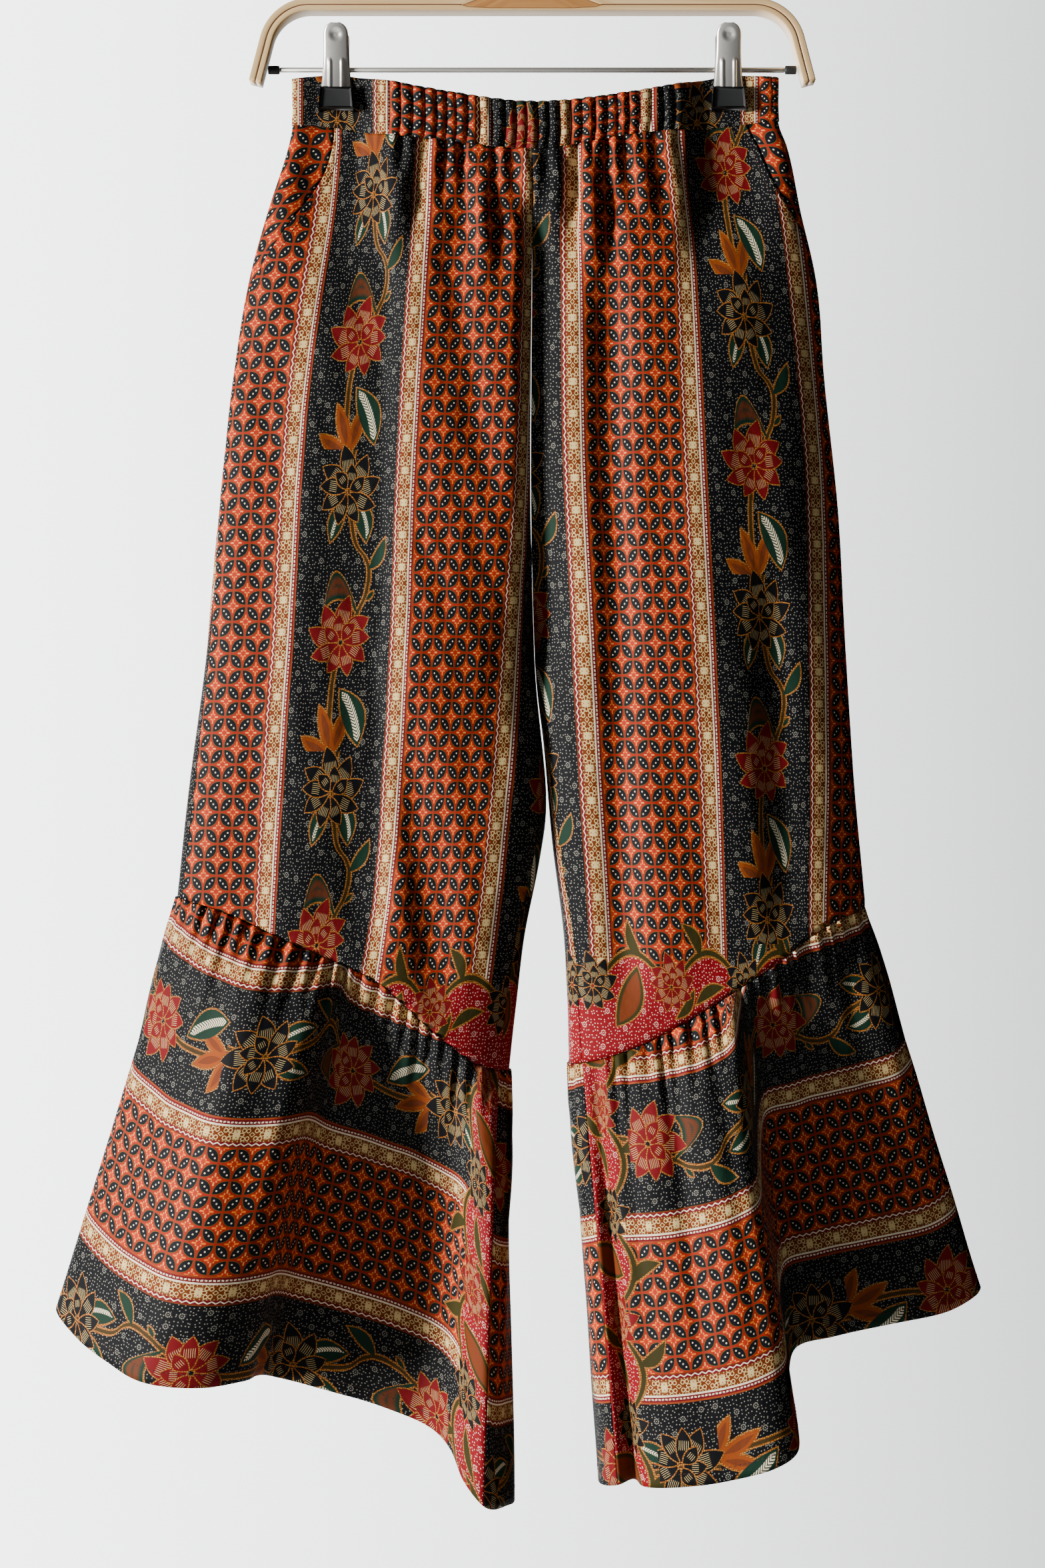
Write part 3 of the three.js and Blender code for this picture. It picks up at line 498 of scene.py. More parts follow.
def panel_surface(side, face, t, columns, piece="leg"):
    """Points of a leg panel or a pocket's side piece, and the distances down and across it."""
    field = panel_field(side, face, t)
    length = arc(field)[:, -1]
    pocket = pocket_width(side, -field[:, -1, 2]) if face == FRONT else np.zeros(len(t))
    start, end = np.full(len(t), SEAM_GAP / 2), SEAM_GAP / 2 + pocket
    if piece == "pocket":
        start, end = length + SEAM_GAP / 2 - pocket, start
    points = resample(field, start, end, columns)
    level = unit(grid_normals(points, side * face, (0, -1)) * [1, 1, 0])
    run = arc(points, axis=0)
    across = arc(points)
    if piece == "leg":
        seed = 10 + 3 * side + face
        fall = smooth(run, 0, 60) * smooth(run[-1] - run, 0, 60)
        soft = soft_noise(across, run * 0.35, seed, 95, 2.2) + soft_noise(across, run, seed + 50, 38, 0.8)
        moved = soft * fall - pleats(face, points, run)
        points = points + level * (moved * free_between_seams(np.linspace(0, 1, columns + 1)))[..., None]
    return points, run, across


def leg_print(side, face, points, across):
    """Print coordinates of a leg: across the bands, and down from where the red end begins."""
    u = np.empty(points.shape[:2])
    known = np.array([border_centre(FIRST_BORDER[side] + k) for k in range(3)])
    for i, row in enumerate(points):
        run = across[i]
        if face == BACK:
            u[i] = BACK_PRINT[side] - (run - run[-1] / 2) * PRINT_SPREAD * side
            continue
        at = []
        for column in "abc":
            line = read(STRIPES[side], "down", column, -row[:, 2])
            off = row[:, 0] - CAMERA_X - (line - CAMERA_X) * (1 + row[:, 1] / CAMERA_DISTANCE)
            near = int(np.argmin(np.abs(off)))
            at.append(run[near] - off[near] * side)
        order = np.argsort(at)
        a, b = np.array(at)[order], known[order]
        u[i] = np.interp(run, a, b)
        u[i] = np.where(run < a[0], b[0] + (run - a[0]) * PRINT_SPREAD * side, u[i])
        u[i] = np.where(run > a[-1], b[-1] + (run - a[-1]) * PRINT_SPREAD * side, u[i])
    return np.stack((u, -points[..., 2] - VINE_TOP[side]), axis=-1)


def make_leg(side, face):
    """A leg panel. Returns its lower edge and the directions there, for the ruffle."""
    points, run, across = panel_surface(side, face, panel_rows(LEG_SEAM_ROWS, LEG_ROWS), LEG_COLUMNS)
    normal = grid_normals(points, side * face, (0, -1))
    uv = leg_print(side, face, points, across)
    name = f"{FACE_NAME[face]}_leg_{SIDE_NAME[side]}"
    cloth_piece(name, points, normal, CLOTH, uv, lambda p: keep_apart(side, p))
    if face == FRONT:
        rows = np.flatnonzero((pocket_width(side, -points[:, -1, 2]) > 1.5) & (run[:, -1] > 2))
        column = int(np.argmin(np.abs(across[0] - across[0, -1] + MOUTH_STITCH)))
        stitches(f"pocket_stitches_{SIDE_NAME[side]}", points[rows, column], normal[rows, column])
    return points[-1], normal[-1]


def make_pocket(side):
    """The cloth that shows behind a pocket's slanting mouth."""
    points, _, across = panel_surface(side, FRONT, np.linspace(0, 0.235, 24), 12, "pocket")
    normal = grid_normals(points, -side, (0,))
    inward = POCKET_INSET * (1 - np.linspace(0, 1, 13))
    points = points - normal * inward[None, :, None]
    uv = np.stack((40 - across * side, -points[..., 2] - 800), axis=-1)
    cloth_piece(f"pocket_side_{SIDE_NAME[side]}", points, normal, CLOTH, uv, None)


def make_waistband(face):
    """One half of the waistband, gathered into short upright ridges."""
    left, right = WAIST["x"][0], WAIST["x"][-1]
    w = np.linspace(0, 1, 481)
    share = 2 * w - 1
    reach = np.minimum(1, bend(np.cos(math.pi / 2 * (1 - np.abs(share)))))
    x = np.where(share < 0, left, right) * reach
    levels = np.linspace(0, 1, BAND_ROWS)
    field = []
    for t in levels:
        down = mix(read(WAIST, "x", "top", x), read(WAIST, "x", "seam", x), t)
        halves = [section_point(s, face, math.pi / 2 * (1 - np.abs(share)), down) for s in (LEFT, RIGHT)]
        field.append(np.where((share < 0)[:, None], halves[0], halves[1]))
    edge = np.full(BAND_ROWS, SEAM_GAP / 2)
    points = resample(np.array(field), edge, edge, BAND_COLUMNS)
    run = arc(points)
    normal = grid_normals(points, face, range(BAND_ROWS))
    s = np.linspace(0, 1, BAND_COLUMNS + 1)
    calm = mix(0.35, 1, smooth(points[..., 0], -110, -80))
    free = (1 - pinch(points[..., 0], 0)) * calm * free_between_seams(s)
    warp = soft_noise(run, 0, 31 + face, 60, 2.4)
    small = soft_noise(run, 0, 41 + face, 30, 1)
    lean = (levels[:, None] - 0.5) * soft_noise(run, 0, 51 + face, 25, 2.2)
    ridge = np.abs(np.sin(math.pi * (run + warp + lean) / BAND_GATHER)) ** 0.65
    wave = (ridge - 0.6) * (1 + 0.4 * small) * BAND_GATHER_DEPTH
    crease = np.abs(np.sin(math.pi * (run + 2 * warp) / BAND_CREASE)) ** 3
    rib = 0.35 * np.cos(2 * math.pi * (levels[:, None] * 4 + 0.5))
    puff = BAND_ROUNDING * (1 - (2 * levels[:, None] - 1) ** 2)
    moved = (wave + 0.9 * crease + puff - 0.9) * free + rib * 0.6 * free
    points = points + normal * moved[..., None]
    normal = grid_normals(points, face, (0, -1))
    known = BAND_STRIPES
    flat = points[:, :, 0]
    u = np.interp(flat, known["x"], [border_centre(k) for k in known["border"]])
    u = np.where(flat > known["x"][-1], border_centre(5) + (flat - known["x"][-1]) * 1.6, u)
    v = (levels * 41)[:, None] - 611 + 0 * flat
    if face == BACK:
        u = -u + 60
    def limit(layer):
        layer[..., 1] = face * np.maximum(face * layer[..., 1], SEAM_GAP / 2)
        return layer

    uv = np.stack((u, v), axis=-1)
    cloth_piece(f"waistband_{FACE_NAME[face]}", points, normal, BAND_CLOTH, uv, limit)


def closed_curve(corners, steps=40):
    """A closed centripetal curve through the corners, with the corner number of each point."""
    p = np.array([(x, y, -down) for x, y, down in corners], float)
    points, number = [], []
    for i in range(len(p)):
        near = [p[(i + k) % len(p)] for k in (-1, 0, 1, 2)]
        knots = [0.0]
        for first, second in zip(near, near[1:]):
            knots.append(knots[-1] + np.linalg.norm(second - first) ** 0.5)
        for k in range(steps):
            t = mix(knots[1], knots[2], k / steps)
            level = near
            for reach in (1, 2):
                level = [
                    mix(level[j], level[j + 1], (t - knots[j]) / (knots[j + reach] - knots[j]))
                    for j in range(len(level) - 1)
                ]
            points.append(mix(level[0], level[1], (t - knots[1]) / (knots[2] - knots[1])))
            number.append(i + k / steps)
    return np.array(points), np.array(number)


def hem_row(side, face, columns):
    """A ruffle half's lower edge, from the inseam to the side seam."""
    curve, number = closed_curve(HEM[side])
    line = curve[number <= SIDE_SEAM_POINT]
    if face == BACK:
        line = np.concatenate((curve[number >= SIDE_SEAM_POINT], curve[:1]))[::-1]
    edge = np.array([SEAM_GAP / 2])
    return resample(line[None], edge, edge, columns)[0]


def make_ruffle(side, face, seam_points, seam_normals):
    """A ruffle half between the leg's lower edge and the hem line, gathered at the top."""
    s = np.linspace(0, 1, RUFFLE_COLUMNS + 1)
    old = np.linspace(0, 1, len(seam_points))
    hem = hem_row(side, face, RUFFLE_COLUMNS)
    step = np.abs(np.diff(hem, axis=0)) @ [1, FOLD_WALL, 0]
    top_share = np.concatenate(([0], np.cumsum(step))) / step.sum()
    top = follow(top_share, old, seam_points)
    top_normal = follow(top_share, old, seam_normals)
    top[:, 2] -= SLANTED_SEAM_GAP
    near_seam = np.linspace(0, 0.2, RUFFLE_SEAM_ROWS, endpoint=False)
    t = np.concatenate((near_seam, np.linspace(0.2, 1, RUFFLE_ROWS)))
    hem_normal = unit(np.cross(np.gradient(hem, axis=0), hem - top) * side * face)
    level = unit(mix(top_normal[None], hem_normal[None], t[:, None, None]) * [1, 1, 0])
    points = mix(top[None], hem[None], t[:, None, None])
    t = t[:, None]
    points[..., 1] = mix(top[:, 1], hem[:, 1], 1 - (1 - t) ** 3)
    run = arc(top[None])[0] + 0 * t
    seed = 70 + 3 * side + face
    warp = soft_noise(run, 0, seed, 55, 5)
    uneven = 1 + 0.45 * soft_noise(run, 0, seed + 1, 28, 1)
    reach = 0.2 + 0.12 * soft_noise(run, 0, seed + 2, 33, 1)
    turn = 2 * math.pi * (run + warp) / RUFFLE_GATHER
    wave = RUFFLE_GATHER_DEPTH * uneven * np.sin(turn) * (1 - smooth(t, 0, np.maximum(reach, 0.06)))
    turn = 2 * math.pi * (run + 1.4 * warp) / RUFFLE_TUCK
    tuck = RUFFLE_TUCK_DEPTH * np.sin(turn) * (1 - smooth(t, 0, 0.09))
    turn = 2 * math.pi * (run + 1.7 * warp) / RUFFLE_FLUTE
    flute = RUFFLE_FLUTE_DEPTH * np.sin(turn) * smooth(t, 0, 0.12) * (1 - smooth(t, 0.45, 0.95))
    crumple = soft_noise(run * 1.3, t * 300, seed + 5, 60, 1.2) * smooth(t, 0.05, 0.3)
    puff = RUFFLE_PUFF * np.sin(math.pi * np.minimum(1, t / 0.35))
    moved = free_between_seams(s) * (wave + tuck + flute + crumple + puff)
    points = points + level * moved[..., None]
    normal = grid_normals(points, side * face)
    normal[0] = top_normal
    height = arc(points, axis=0)
    from_hem = height[-1][None, :] - height
    u = RUFFLE_PRINT[side] - from_hem * side
    q = s * RUFFLE_FLAT[face] * np.ones_like(t)
    v = RED_END - q if face == FRONT else q - RUFFLE_FLAT[face] - RUFFLE_FLAT[FRONT] + RED_END
    name = f"{FACE_NAME[face]}_{SIDE_NAME[side]}"
    uv = np.stack((u, v), axis=-1)
    cloth_piece(f"ruffle_{name}", points, normal, CLOTH, uv, lambda p: keep_apart(side, p))
    row = int(np.argmin(np.abs(from_hem.mean(axis=1) - HEM_STITCH)))
    stitches(f"hem_stitches_{name}", points[row][2:-2], normal[row][2:-2])


class Field:
    """A number that varies over the cloth. Arithmetic on fields adds nodes to the open node tree."""

    tree = None

    def __init__(self, socket):
        self.socket = socket

    @classmethod
    def math(cls, operation, *values, clamp=False):
        return Field(node("Math", dict(enumerate(values)), operation=operation, use_clamp=clamp).outputs[0])

    def __add__(self, other):
        return Field.math("ADD", self, other)

    def __radd__(self, other):
        return Field.math("ADD", other, self)

    def __sub__(self, other):
        return Field.math("SUBTRACT", self, other)

    def __rsub__(self, other):
        return Field.math("SUBTRACT", other, self)

    def __mul__(self, other):
        return Field.math("MULTIPLY", self, other)

    def __rmul__(self, other):
        return Field.math("MULTIPLY", other, self)

    def __truediv__(self, other):
        return Field.math("DIVIDE", self, other)

    def __abs__(self):
        return Field.math("ABSOLUTE", self)


def feed(slot, value):
    """Sets a node's input to a number or colour, or links it to a field or socket."""
    if isinstance(value, Field):
        value = value.socket
    if isinstance(value, bpy.types.NodeSocket):
        Field.tree.links.new(value, slot)
    else:
        slot.default_value = value


def node(kind, inputs, **settings):
    """A node in the open tree. Its inputs are given by name or number."""
    made = Field.tree.nodes.new("ShaderNode" + kind)
    for name, value in settings.items():
        setattr(made, name, value)
    for name, value in inputs.items():
        feed(made.inputs[name], value)
    return made


def inside(depth, soft=0.16):
    """1 where a depth in millimetres is positive and 0 outside, with a soft edge."""
    return Field.math("MULTIPLY_ADD", depth, 1 / soft, 0.5, clamp=True)


def least(first, *others):
    for other in others:
        first = Field.math("MINIMUM", first, other)
    return first


def most(first, *others):
    for other in others:
        first = Field.math("MAXIMUM", first, other)
    return first


def zigzag(value, half):
    """0 at every even multiple of half, and half at every odd one."""
    return Field.math("PINGPONG", value, half)


def repeat(value, period):
    return Field.math("FLOORED_MODULO", value, period)


def far(x, y):
    """Distance from the origin."""
    return Field.math("SQRT", x * x + y * y)


def colour(red, green, blue):
    """A colour from its usual 0 to 255 values."""

    def linear(c):
        c /= 255
        return c / 12.92 if c <= 0.04045 else ((c + 0.055) / 1.055) ** 2.4

    return (linear(red), linear(green), linear(blue), 1)


def paint(under, mask, over):
    """Lays a colour over another where the mask is 1. Colours are sockets or fixed values."""
    return node("Mix", {"Factor": mask, 6: under, 7: over}, data_type="RGBA").outputs[2]


def vector(x, y):
    return node("CombineXYZ", {0: x, 1: y}).outputs[0]


def parts(socket):
    made = node("SeparateXYZ", {0: socket})
    return Field(made.outputs[0]), Field(made.outputs[1])


def curve(value, points):
    """A curve drawn through given points between 0 and 1."""
    made = node("FloatCurve", {"Value": value})
    line = made.mapping.curves[0]
    line.points[0].location, line.points[1].location = points[0], points[-1]
    for x, y in points[1:-1]:
        line.points.new(x, y)
    for point in line.points:
        point.handle_type = "AUTO"
    made.mapping.update()
    return Field(made.outputs[0])


def cells(place, size, randomness):
    """Scattered cells of about the given size: the distance to each cell's point, and the point."""
    inputs = {"Scale": 1 / size, "Randomness": randomness, "Vector": place}
    made = node("TexVoronoi", inputs, voronoi_dimensions="2D")
    return Field(made.outputs["Distance"]) * size, made.outputs["Position"]


def leaf(place, start, tip, half_width, bow=0.0):
    """How deep a place lies inside a leaf from its start to its tip, and its place along and across it."""
    run, rise = tip[0] - start[0], tip[1] - start[1]
    inputs = {
        "Location": ((start[0] + tip[0]) / 2, (start[1] + tip[1]) / 2, 0),
        "Rotation": (0, 0, math.atan2(rise, run)),
        "Scale": (math.hypot(run, rise) / 2, 1, 1),
        "Vector": place,
    }
    along, across = parts(node("Mapping", inputs, vector_type="TEXTURE").outputs[0])
    body = 1 - along * along
    off = Field.math("MULTIPLY_ADD", body, -bow, across)
    return Field.math("MULTIPLY_ADD", body, half_width, abs(off) * -1), along, off


# Colours of the print
NAVY = colour(11, 13, 21)
NIGHT = colour(5, 6, 10)
RUST = colour(132, 22, 12)
ORANGE = colour(166, 38, 16)
AMBER = colour(222, 116, 26)
OLIVE = colour(80, 70, 24)
LEAF_OLIVE = colour(44, 40, 10)
CREAM = colour(224, 212, 182)
SCROLL = colour(206, 180, 124)
SPECK = colour(122, 120, 110)
OCHRE = colour(102, 44, 8)
DARK_RED = colour(98, 8, 20)
CRIMSON = colour(116, 3, 15)
GOLD = colour(112, 58, 12)
STEM = colour(54, 40, 14)
LEAF_GREEN = colour(12, 40, 28)
FAN_BROWN = colour(104, 40, 12)
PINK = colour(226, 170, 160)
RED_PETAL = colour(100, 4, 12)
STAR = colour(216, 150, 76)
BEAD = colour(176, 124, 58)
BORDER_EDGE = colour(130, 54, 18)
BUD_BROWN = colour(128, 58, 12)
BUD_SHADE = colour(70, 34, 22)
BACK_OF_PRINT = colour(168, 116, 84)


def small_leaves(q, v):
    """The band of four-leaf circles with a star in each opening."""
    half = BAND / 8
    leaf_half, leaf_length = 3.25, 6.6
    diagonal = math.sqrt(0.5)
    a = zigzag(q, half)
    b = zigzag(v, half)
    along = (a - b) * diagonal
    across = abs(a + b - half) * diagonal
    near_leaf = Field.math("MULTIPLY_ADD", along * along, -leaf_half / leaf_length**2, leaf_half) - across
    ground = paint(RUST, inside(near_leaf * -1 - 1.6, 2.6), ORANGE)
    turned = inside(a + b - half, 0.02)
    dx = abs(a - turned * half)
    dy = abs(b - turned * half)
    upright = least(0.55 - dx, 1.5 - abs(dy - 3.3))
    level = least(0.5 - dy, 1.25 - abs(dx - 3.3))
    pearls = 0.5 - far(dx - 1.5, dy - 1.7)
    ground = paint(ground, inside(upright, 0.5), AMBER)
    ground = paint(ground, inside(most(level, pearls), 0.4), STAR)
    ground = paint(ground, inside(near_leaf + 0.45), OLIVE)
    ground = paint(ground, inside(near_leaf), NAVY)
    dot = 0.58 - far(least(abs(along), abs(abs(along) - 3.2)), across)
    return paint(ground, inside(dot, 0.3), CREAM)


BORDER_STRIPES = [
    (0, OCHRE), (0.8, DARK_RED), (3.9, OCHRE), (14.9, CREAM), (16.2, DARK_RED), (19.7, BORDER_EDGE),
]


def border(r, v):
    """The striped border: chevrons, scrollwork and a white line."""
    made = node("ValToRGB", {0: r * (1 / BORDER)})
    ramp = made.color_ramp
    ramp.interpolation = "CONSTANT"
    first, *between, last = BORDER_STRIPES
    for element, (at, shade) in zip(ramp.elements, (first, last)):
        element.position, element.color = at / BORDER, shade
    for at, shade in between:
        ramp.elements.new(at / BORDER).color = shade
    wave = zigzag(v, 2.8)
    chevron = 0.42 - abs(r - 3.1 + wave * 0.55)
    dots = least(0.55 - abs(r - 17.6 - wave * 0.18), zigzag(v, 1.4) - 0.55)

    # Scrollwork, the same on both sides of its own middle line
    a = abs(r - 9.4)
    b = zigzag(v, 11.4)
    diamond = 0.3 - abs(a + b * 0.8 - 1.5)
    first_curl = 0.3 - abs(far(a - 2.7, b - 3.1) - 1.35)
    second_curl = 0.32 - abs(far(a - 2.9, b - 6.3) - 1.35)
    eye = 0.35 - abs(far(a * 1.5, b - 7.6) - 1.7)
    teeth = least(4.2 - a - zigzag(b, 0.55) * 3.2, b - 8.9, most(abs(a - 1.9) - 0.32, 0.9 - abs(b - 10)))
    pearls = 0.35 - far(a - 4.9, zigzag(b, 1.2))
    scroll = most(diamond, first_curl, second_curl, eye, teeth, pearls)
    shown = paint(made.outputs[0], inside(scroll, 0.3), SCROLL)
    return paint(shown, inside(most(chevron, dots), 0.3), CREAM)


# Petals of a lotus, from the back to the front: direction in degrees, turning down from the right,
# length and half width.
PETALS = [
    (-100, 34, 7.4), (-58, 31, 7.0), (-144, 30, 7.0), (-18, 31, 6.8), (22, 28, 6.0), (64, 24, 5.6),
    (108, 25, 5.8), (150, 26, 6.0), (-172, 26, 6.0), (-84, 20, 5.4), (-36, 18, 5.0), (-132, 18, 5.0),
]


def lotus(shown, x, y, red, gold):
    """Paints a lotus round the origin: dark petals, or red ones where the mask is 1."""
    place = vector(x, y)
    fill = paint(NIGHT, red, RED_PETAL)
    for degrees, length, half in PETALS:
        turn = math.radians(degrees)
        run, rise = math.cos(turn), math.sin(turn)
        start, tip = (run * 2, rise * 2), (run * length, rise * length)
        petal, along, off = leaf(place, start, tip, half, half * 0.3)
        strokes = least(petal - 1.8, zigzag(off, 0.7) * 4 - 2, 1.6 - abs(along) * 6)
        shown = paint(shown, inside(petal + 0.6), gold)
        shown = paint(shown, inside(petal - 0.4), fill)
        shown = paint(shown, inside(strokes, 0.5) * 0.7, SCROLL)
    return shown


def specks(place):
    """White dots scattered over the ground, with small rosettes of dots among them."""
    dot_far, _ = cells(place, 2.8, 0.7)
    ring_far, ring_at = cells(place, 16, 0.6)
    apart = node("VectorMath", {0: place, 1: ring_at}, operation="SUBTRACT")
    rx, ry = parts(apart.outputs[0])
    spokes = zigzag(Field.math("ARCTAN2", ry, rx), math.pi / 8) * 1.7
    ring_dot = least(0.4 - abs(ring_far - 1.7), 0.44 - spokes)
    rosette = most(ring_dot, 0.42 - ring_far)
    return inside(most(rosette, least(0.44 - dot_far, ring_far - 2.7)), 0.2)


def beaded_gold(place):
    """The outlines' colour: gold with pale beads."""
    bead_far, _ = cells(place, 1.5, 0.4)
    return paint(GOLD, inside(0.48 - bead_far, 0.3), BEAD)


def flowers(x, y, dots, gold):
    """The dark band: dots and rosettes, and the vine's stem and leaves."""
    place = vector(x, y)
    shown = paint(NIGHT, dots, SPECK)

    # Stem, as a drawn line over one repeat
    track = curve((y + 30) / VINE_PERIOD, STEM_TRACK)
    stem = 1.3 - abs(x - (track * 60 - 30))

    # Leaves: start, tip, half width and bow
    right, right_along, right_off = leaf(place, (5, 5), (17, 36), 7.6, -3.2)
    left, left_along, left_off = leaf(place, (-4, 6), (-16, 36), 6.2, 1.5)
    bud = leaf(place, (20, 55), (36, 33), 4.6, 2.5)[0]
    thorn = leaf(place, (19, 77), (25, 71), 1.6)[0]
    fan, fan_along, fan_off = leaf(place, (12, 86), (-19, 92), 13, 19)
    fan = least(fan, far(x + 5, y - 92) - 16)
    pale, pale_along, pale_off = leaf(place, (0, 140), (20, 180), 10, -4)
    tall = leaf(place, (-5, 186), (-17, 152), 5.4, 1.5)[0]
    wide = leaf(place, (-3, 186), (7, 154), 5.0, 0)[0]
    low_leaf = leaf(place, (-6, 184), (-31, 174), 5.2, -2)[0]

    greens = most(right, left, bud, thorn, fan, pale)
    browns = most(tall, wide, low_leaf)
    shown = paint(shown, inside(most(stem, greens, browns) + 1.4), gold)
    shown = paint(shown, inside(stem), STEM)
    shown = paint(shown, inside(browns), BUD_BROWN)
    shown = paint(shown, inside(browns - 2.6, 0.6) * 0.6, BUD_SHADE)
    shown = paint(shown, inside(greens), LEAF_GREEN)
    veins = zigzag(fan_along * 14 + fan_off * 0.25, 0.5)
    fan_band = 2.6 - abs(fan - 6)
    shown = paint(shown, inside(fan_band, 3) * (0.35 + veins), FAN_BROWN)
    right_strokes = zigzag(right_along * 9 + abs(right_off + 0.5) * 0.45, 0.5)
    left_strokes = zigzag(left_along * 8 + abs(left_off) * 0.45, 0.5)
    pale_strokes = zigzag(pale_along * 9 + abs(pale_off) * 0.4, 0.5)
    white = most(
        least(right - 2.2, 1.5 - abs(right_off + 1.2), right_strokes * 6 - 1.3),
        least(left - 2.0, 1.3 - abs(left_off), left_strokes * 6 - 1.4),
        least(pale - 2.2, 3 - abs(pale_off), pale_strokes * 6 - 1.3),
    )
    return paint(shown, inside(white, 0.6), CREAM)


def red_end(shown, x, y, dots, gold):
    """The cloth's red end: white dots on crimson behind a vine in arches."""
    near = ARCH - abs(x)
    place = vector(x, y)
    rise = near * (ARCH - near) * (-30 / ARCH**2 * 4) + 8
    past = y - rise
    ground = paint(CRIMSON, dots, PINK)
    shown = paint(shown, inside(past), ground)
    leaves = 1.5 - abs(past) * 0.8
    for start, tip, half, bow in ARCH_LEAVES:
        leaves = most(leaves, leaf(place, start, tip, half, bow)[0])
    big, big_along, big_off = leaf(place, (20, 30), (42, -12), 11, 4)
    leaves = most(leaves, big)
    shown = paint(shown, inside(leaves + 1.4), gold)
    shown = paint(shown, inside(leaves), LEAF_OLIVE)
    veins = zigzag(big_along * 9 + abs(big_off) * 0.5, 0.5) * inside(big - 3, 2)
    shown = paint(shown, inside(big - 3, 1) * 0.8, FAN_BROWN)
    return paint(shown, veins, OCHRE)


# The red end's arches: half a repeat, where they begin, and small leaves (start, tip, half width, bow).
ARCH = 74
ARCH_AT = 20
ARCH_LEAVES = [
    ((-44, -18), (-60, -42), 4.5, 4), ((48, -18), (34, -44), 4.5, -4),
    ((-22, 2), (-50, 14), 4, 3), ((-52, 4), (-70, 24), 3.5, -3),
]


# The vine's stem over one repeat: the way down from 30 mm above a dark lotus, and the place across,
# as shares.
STEM_TRACK = [
    ((down + 30) / VINE_PERIOD, (across + 30) / 60)
    for down, across in [
        (-30, 2), (-12, 0), (6, 0), (22, 3), (36, 7), (49, 18), (57, 20.5), (70, 19), (85, 12), (107, 2),
        (126, -6), (146, -8), (165, -7), (184, -2),
    ]
]
LOTUS_AT = 66  # where the first dark lotus lies, down from the red end


def cloth_print():
    """A node group that gives the print's colour from the cloth's flat coordinates."""
    group = bpy.data.node_groups.new("batik_print", "ShaderNodeTree")
    group.interface.new_socket("Color", in_out="OUTPUT", socket_type="NodeSocketColor")
    Field.tree = group
    u, v = (side * 1000 for side in parts(node("UVMap", {}, uv_map="print").outputs[0]))
    index = Field.math("FLOOR", u / PERIOD)
    across = repeat(u, PERIOD)
    q = repeat(across, BAND + BORDER)
    dark_band = inside(across - (BAND + BORDER), 0.05)
    flat = vector(u, v)
    dots = specks(flat)
    gold = beaded_gold(flat)
    x = q - BAND / 2
    y = repeat(v - LOTUS_AT - index * (VINE_PERIOD / 2) + 30, VINE_PERIOD) - 30
    shown = paint(small_leaves(q, v), dark_band, flowers(x, y, dots, gold))
    shown = paint(shown, inside(q - BAND, 0.05), border(q - BAND, v))
    arch_x = repeat(u + ARCH_AT, 2 * ARCH) - ARCH
    shown = red_end(shown, arch_x, v - 4, dots, gold)

    # Lotuses: dark and red ones by turns along the vine, the red ones mirrored, smaller at the red end
    red = inside(VINE_PERIOD / 4 - abs(y - VINE_PERIOD / 2), 0.1)
    lotus_x = (x + 2) * (1 - red * 2)
    lotus_y = repeat(y + VINE_PERIOD / 4, VINE_PERIOD / 2) - VINE_PERIOD / 4
    end = inside(v + 24, 0.05)
    end_x = (repeat(arch_x + ARCH / 2, ARCH) - ARCH / 2) * 1.35
    end_red = inside(abs(arch_x) - ARCH / 2, 0.1)
    lotus_x = lotus_x + (end_x - lotus_x) * end
    lotus_y = lotus_y + ((v - 6) * 1.35 - lotus_y) * end
    red = red + (end_red - red) * end
    shown = paint(shown, most(end, dark_band), lotus(shown, lotus_x, lotus_y, red, gold))
    out = group.nodes.new("NodeGroupOutput")
    group.links.new(shown, out.inputs[0])
    return group


def open_material(name):
    """A new material with its node tree open, and its shader."""
    material = bpy.data.materials.new(name)
    material.use_nodes = True
    Field.tree = material.node_tree
    return material, Field.tree.nodes["Principled BSDF"]


def noise(place, scale, detail):
    return node("TexNoise", {"Scale": scale, "Detail": detail, "Vector": place}).outputs[0]


def bump(height, strength, distance):
    return node("Bump", {"Strength": strength, "Distance": distance, "Height": height}).outputs[0]


def shade(shader, base, roughness, **others):
    """Sets a shader's main inputs: colour, roughness and others by name."""
    feed(shader.inputs["Base Color"], base)
    feed(shader.inputs["Roughness"], roughness)
    for name, value in others.items():
        feed(shader.inputs[name.replace("_", " ")], value)


def cloth_material(group, name, pale):
    """The printed cloth, paler on its inner side."""
    material, shader = open_material(name)
    shown = node("Group", {}, node_tree=group).outputs[0]
    if pale:
        shown = paint(shown, pale, BACK_OF_PRINT)
    place = node("UVMap", {}, uv_map="print").outputs[0]
    shade(shader, shown, 0.72, Specular_IOR_Level=0.12, Normal=bump(noise(place, 70, 3), 0.35, 0.0022))
    return material


def plain_material(name, base, roughness, metallic=0.0):
    """A material with one colour, slightly uneven in tone and roughness."""
    material, shader = open_material(name)
    spots = Field(noise(node("TexCoord", {}).outputs["Object"], 220, 4))
    worn = tuple(c * 0.8 for c in base[:3]) + (1,)
    shade(shader, paint(base, spots, worn), spots * 0.12 + (roughness - 0.06), Metallic=metallic)
    return material


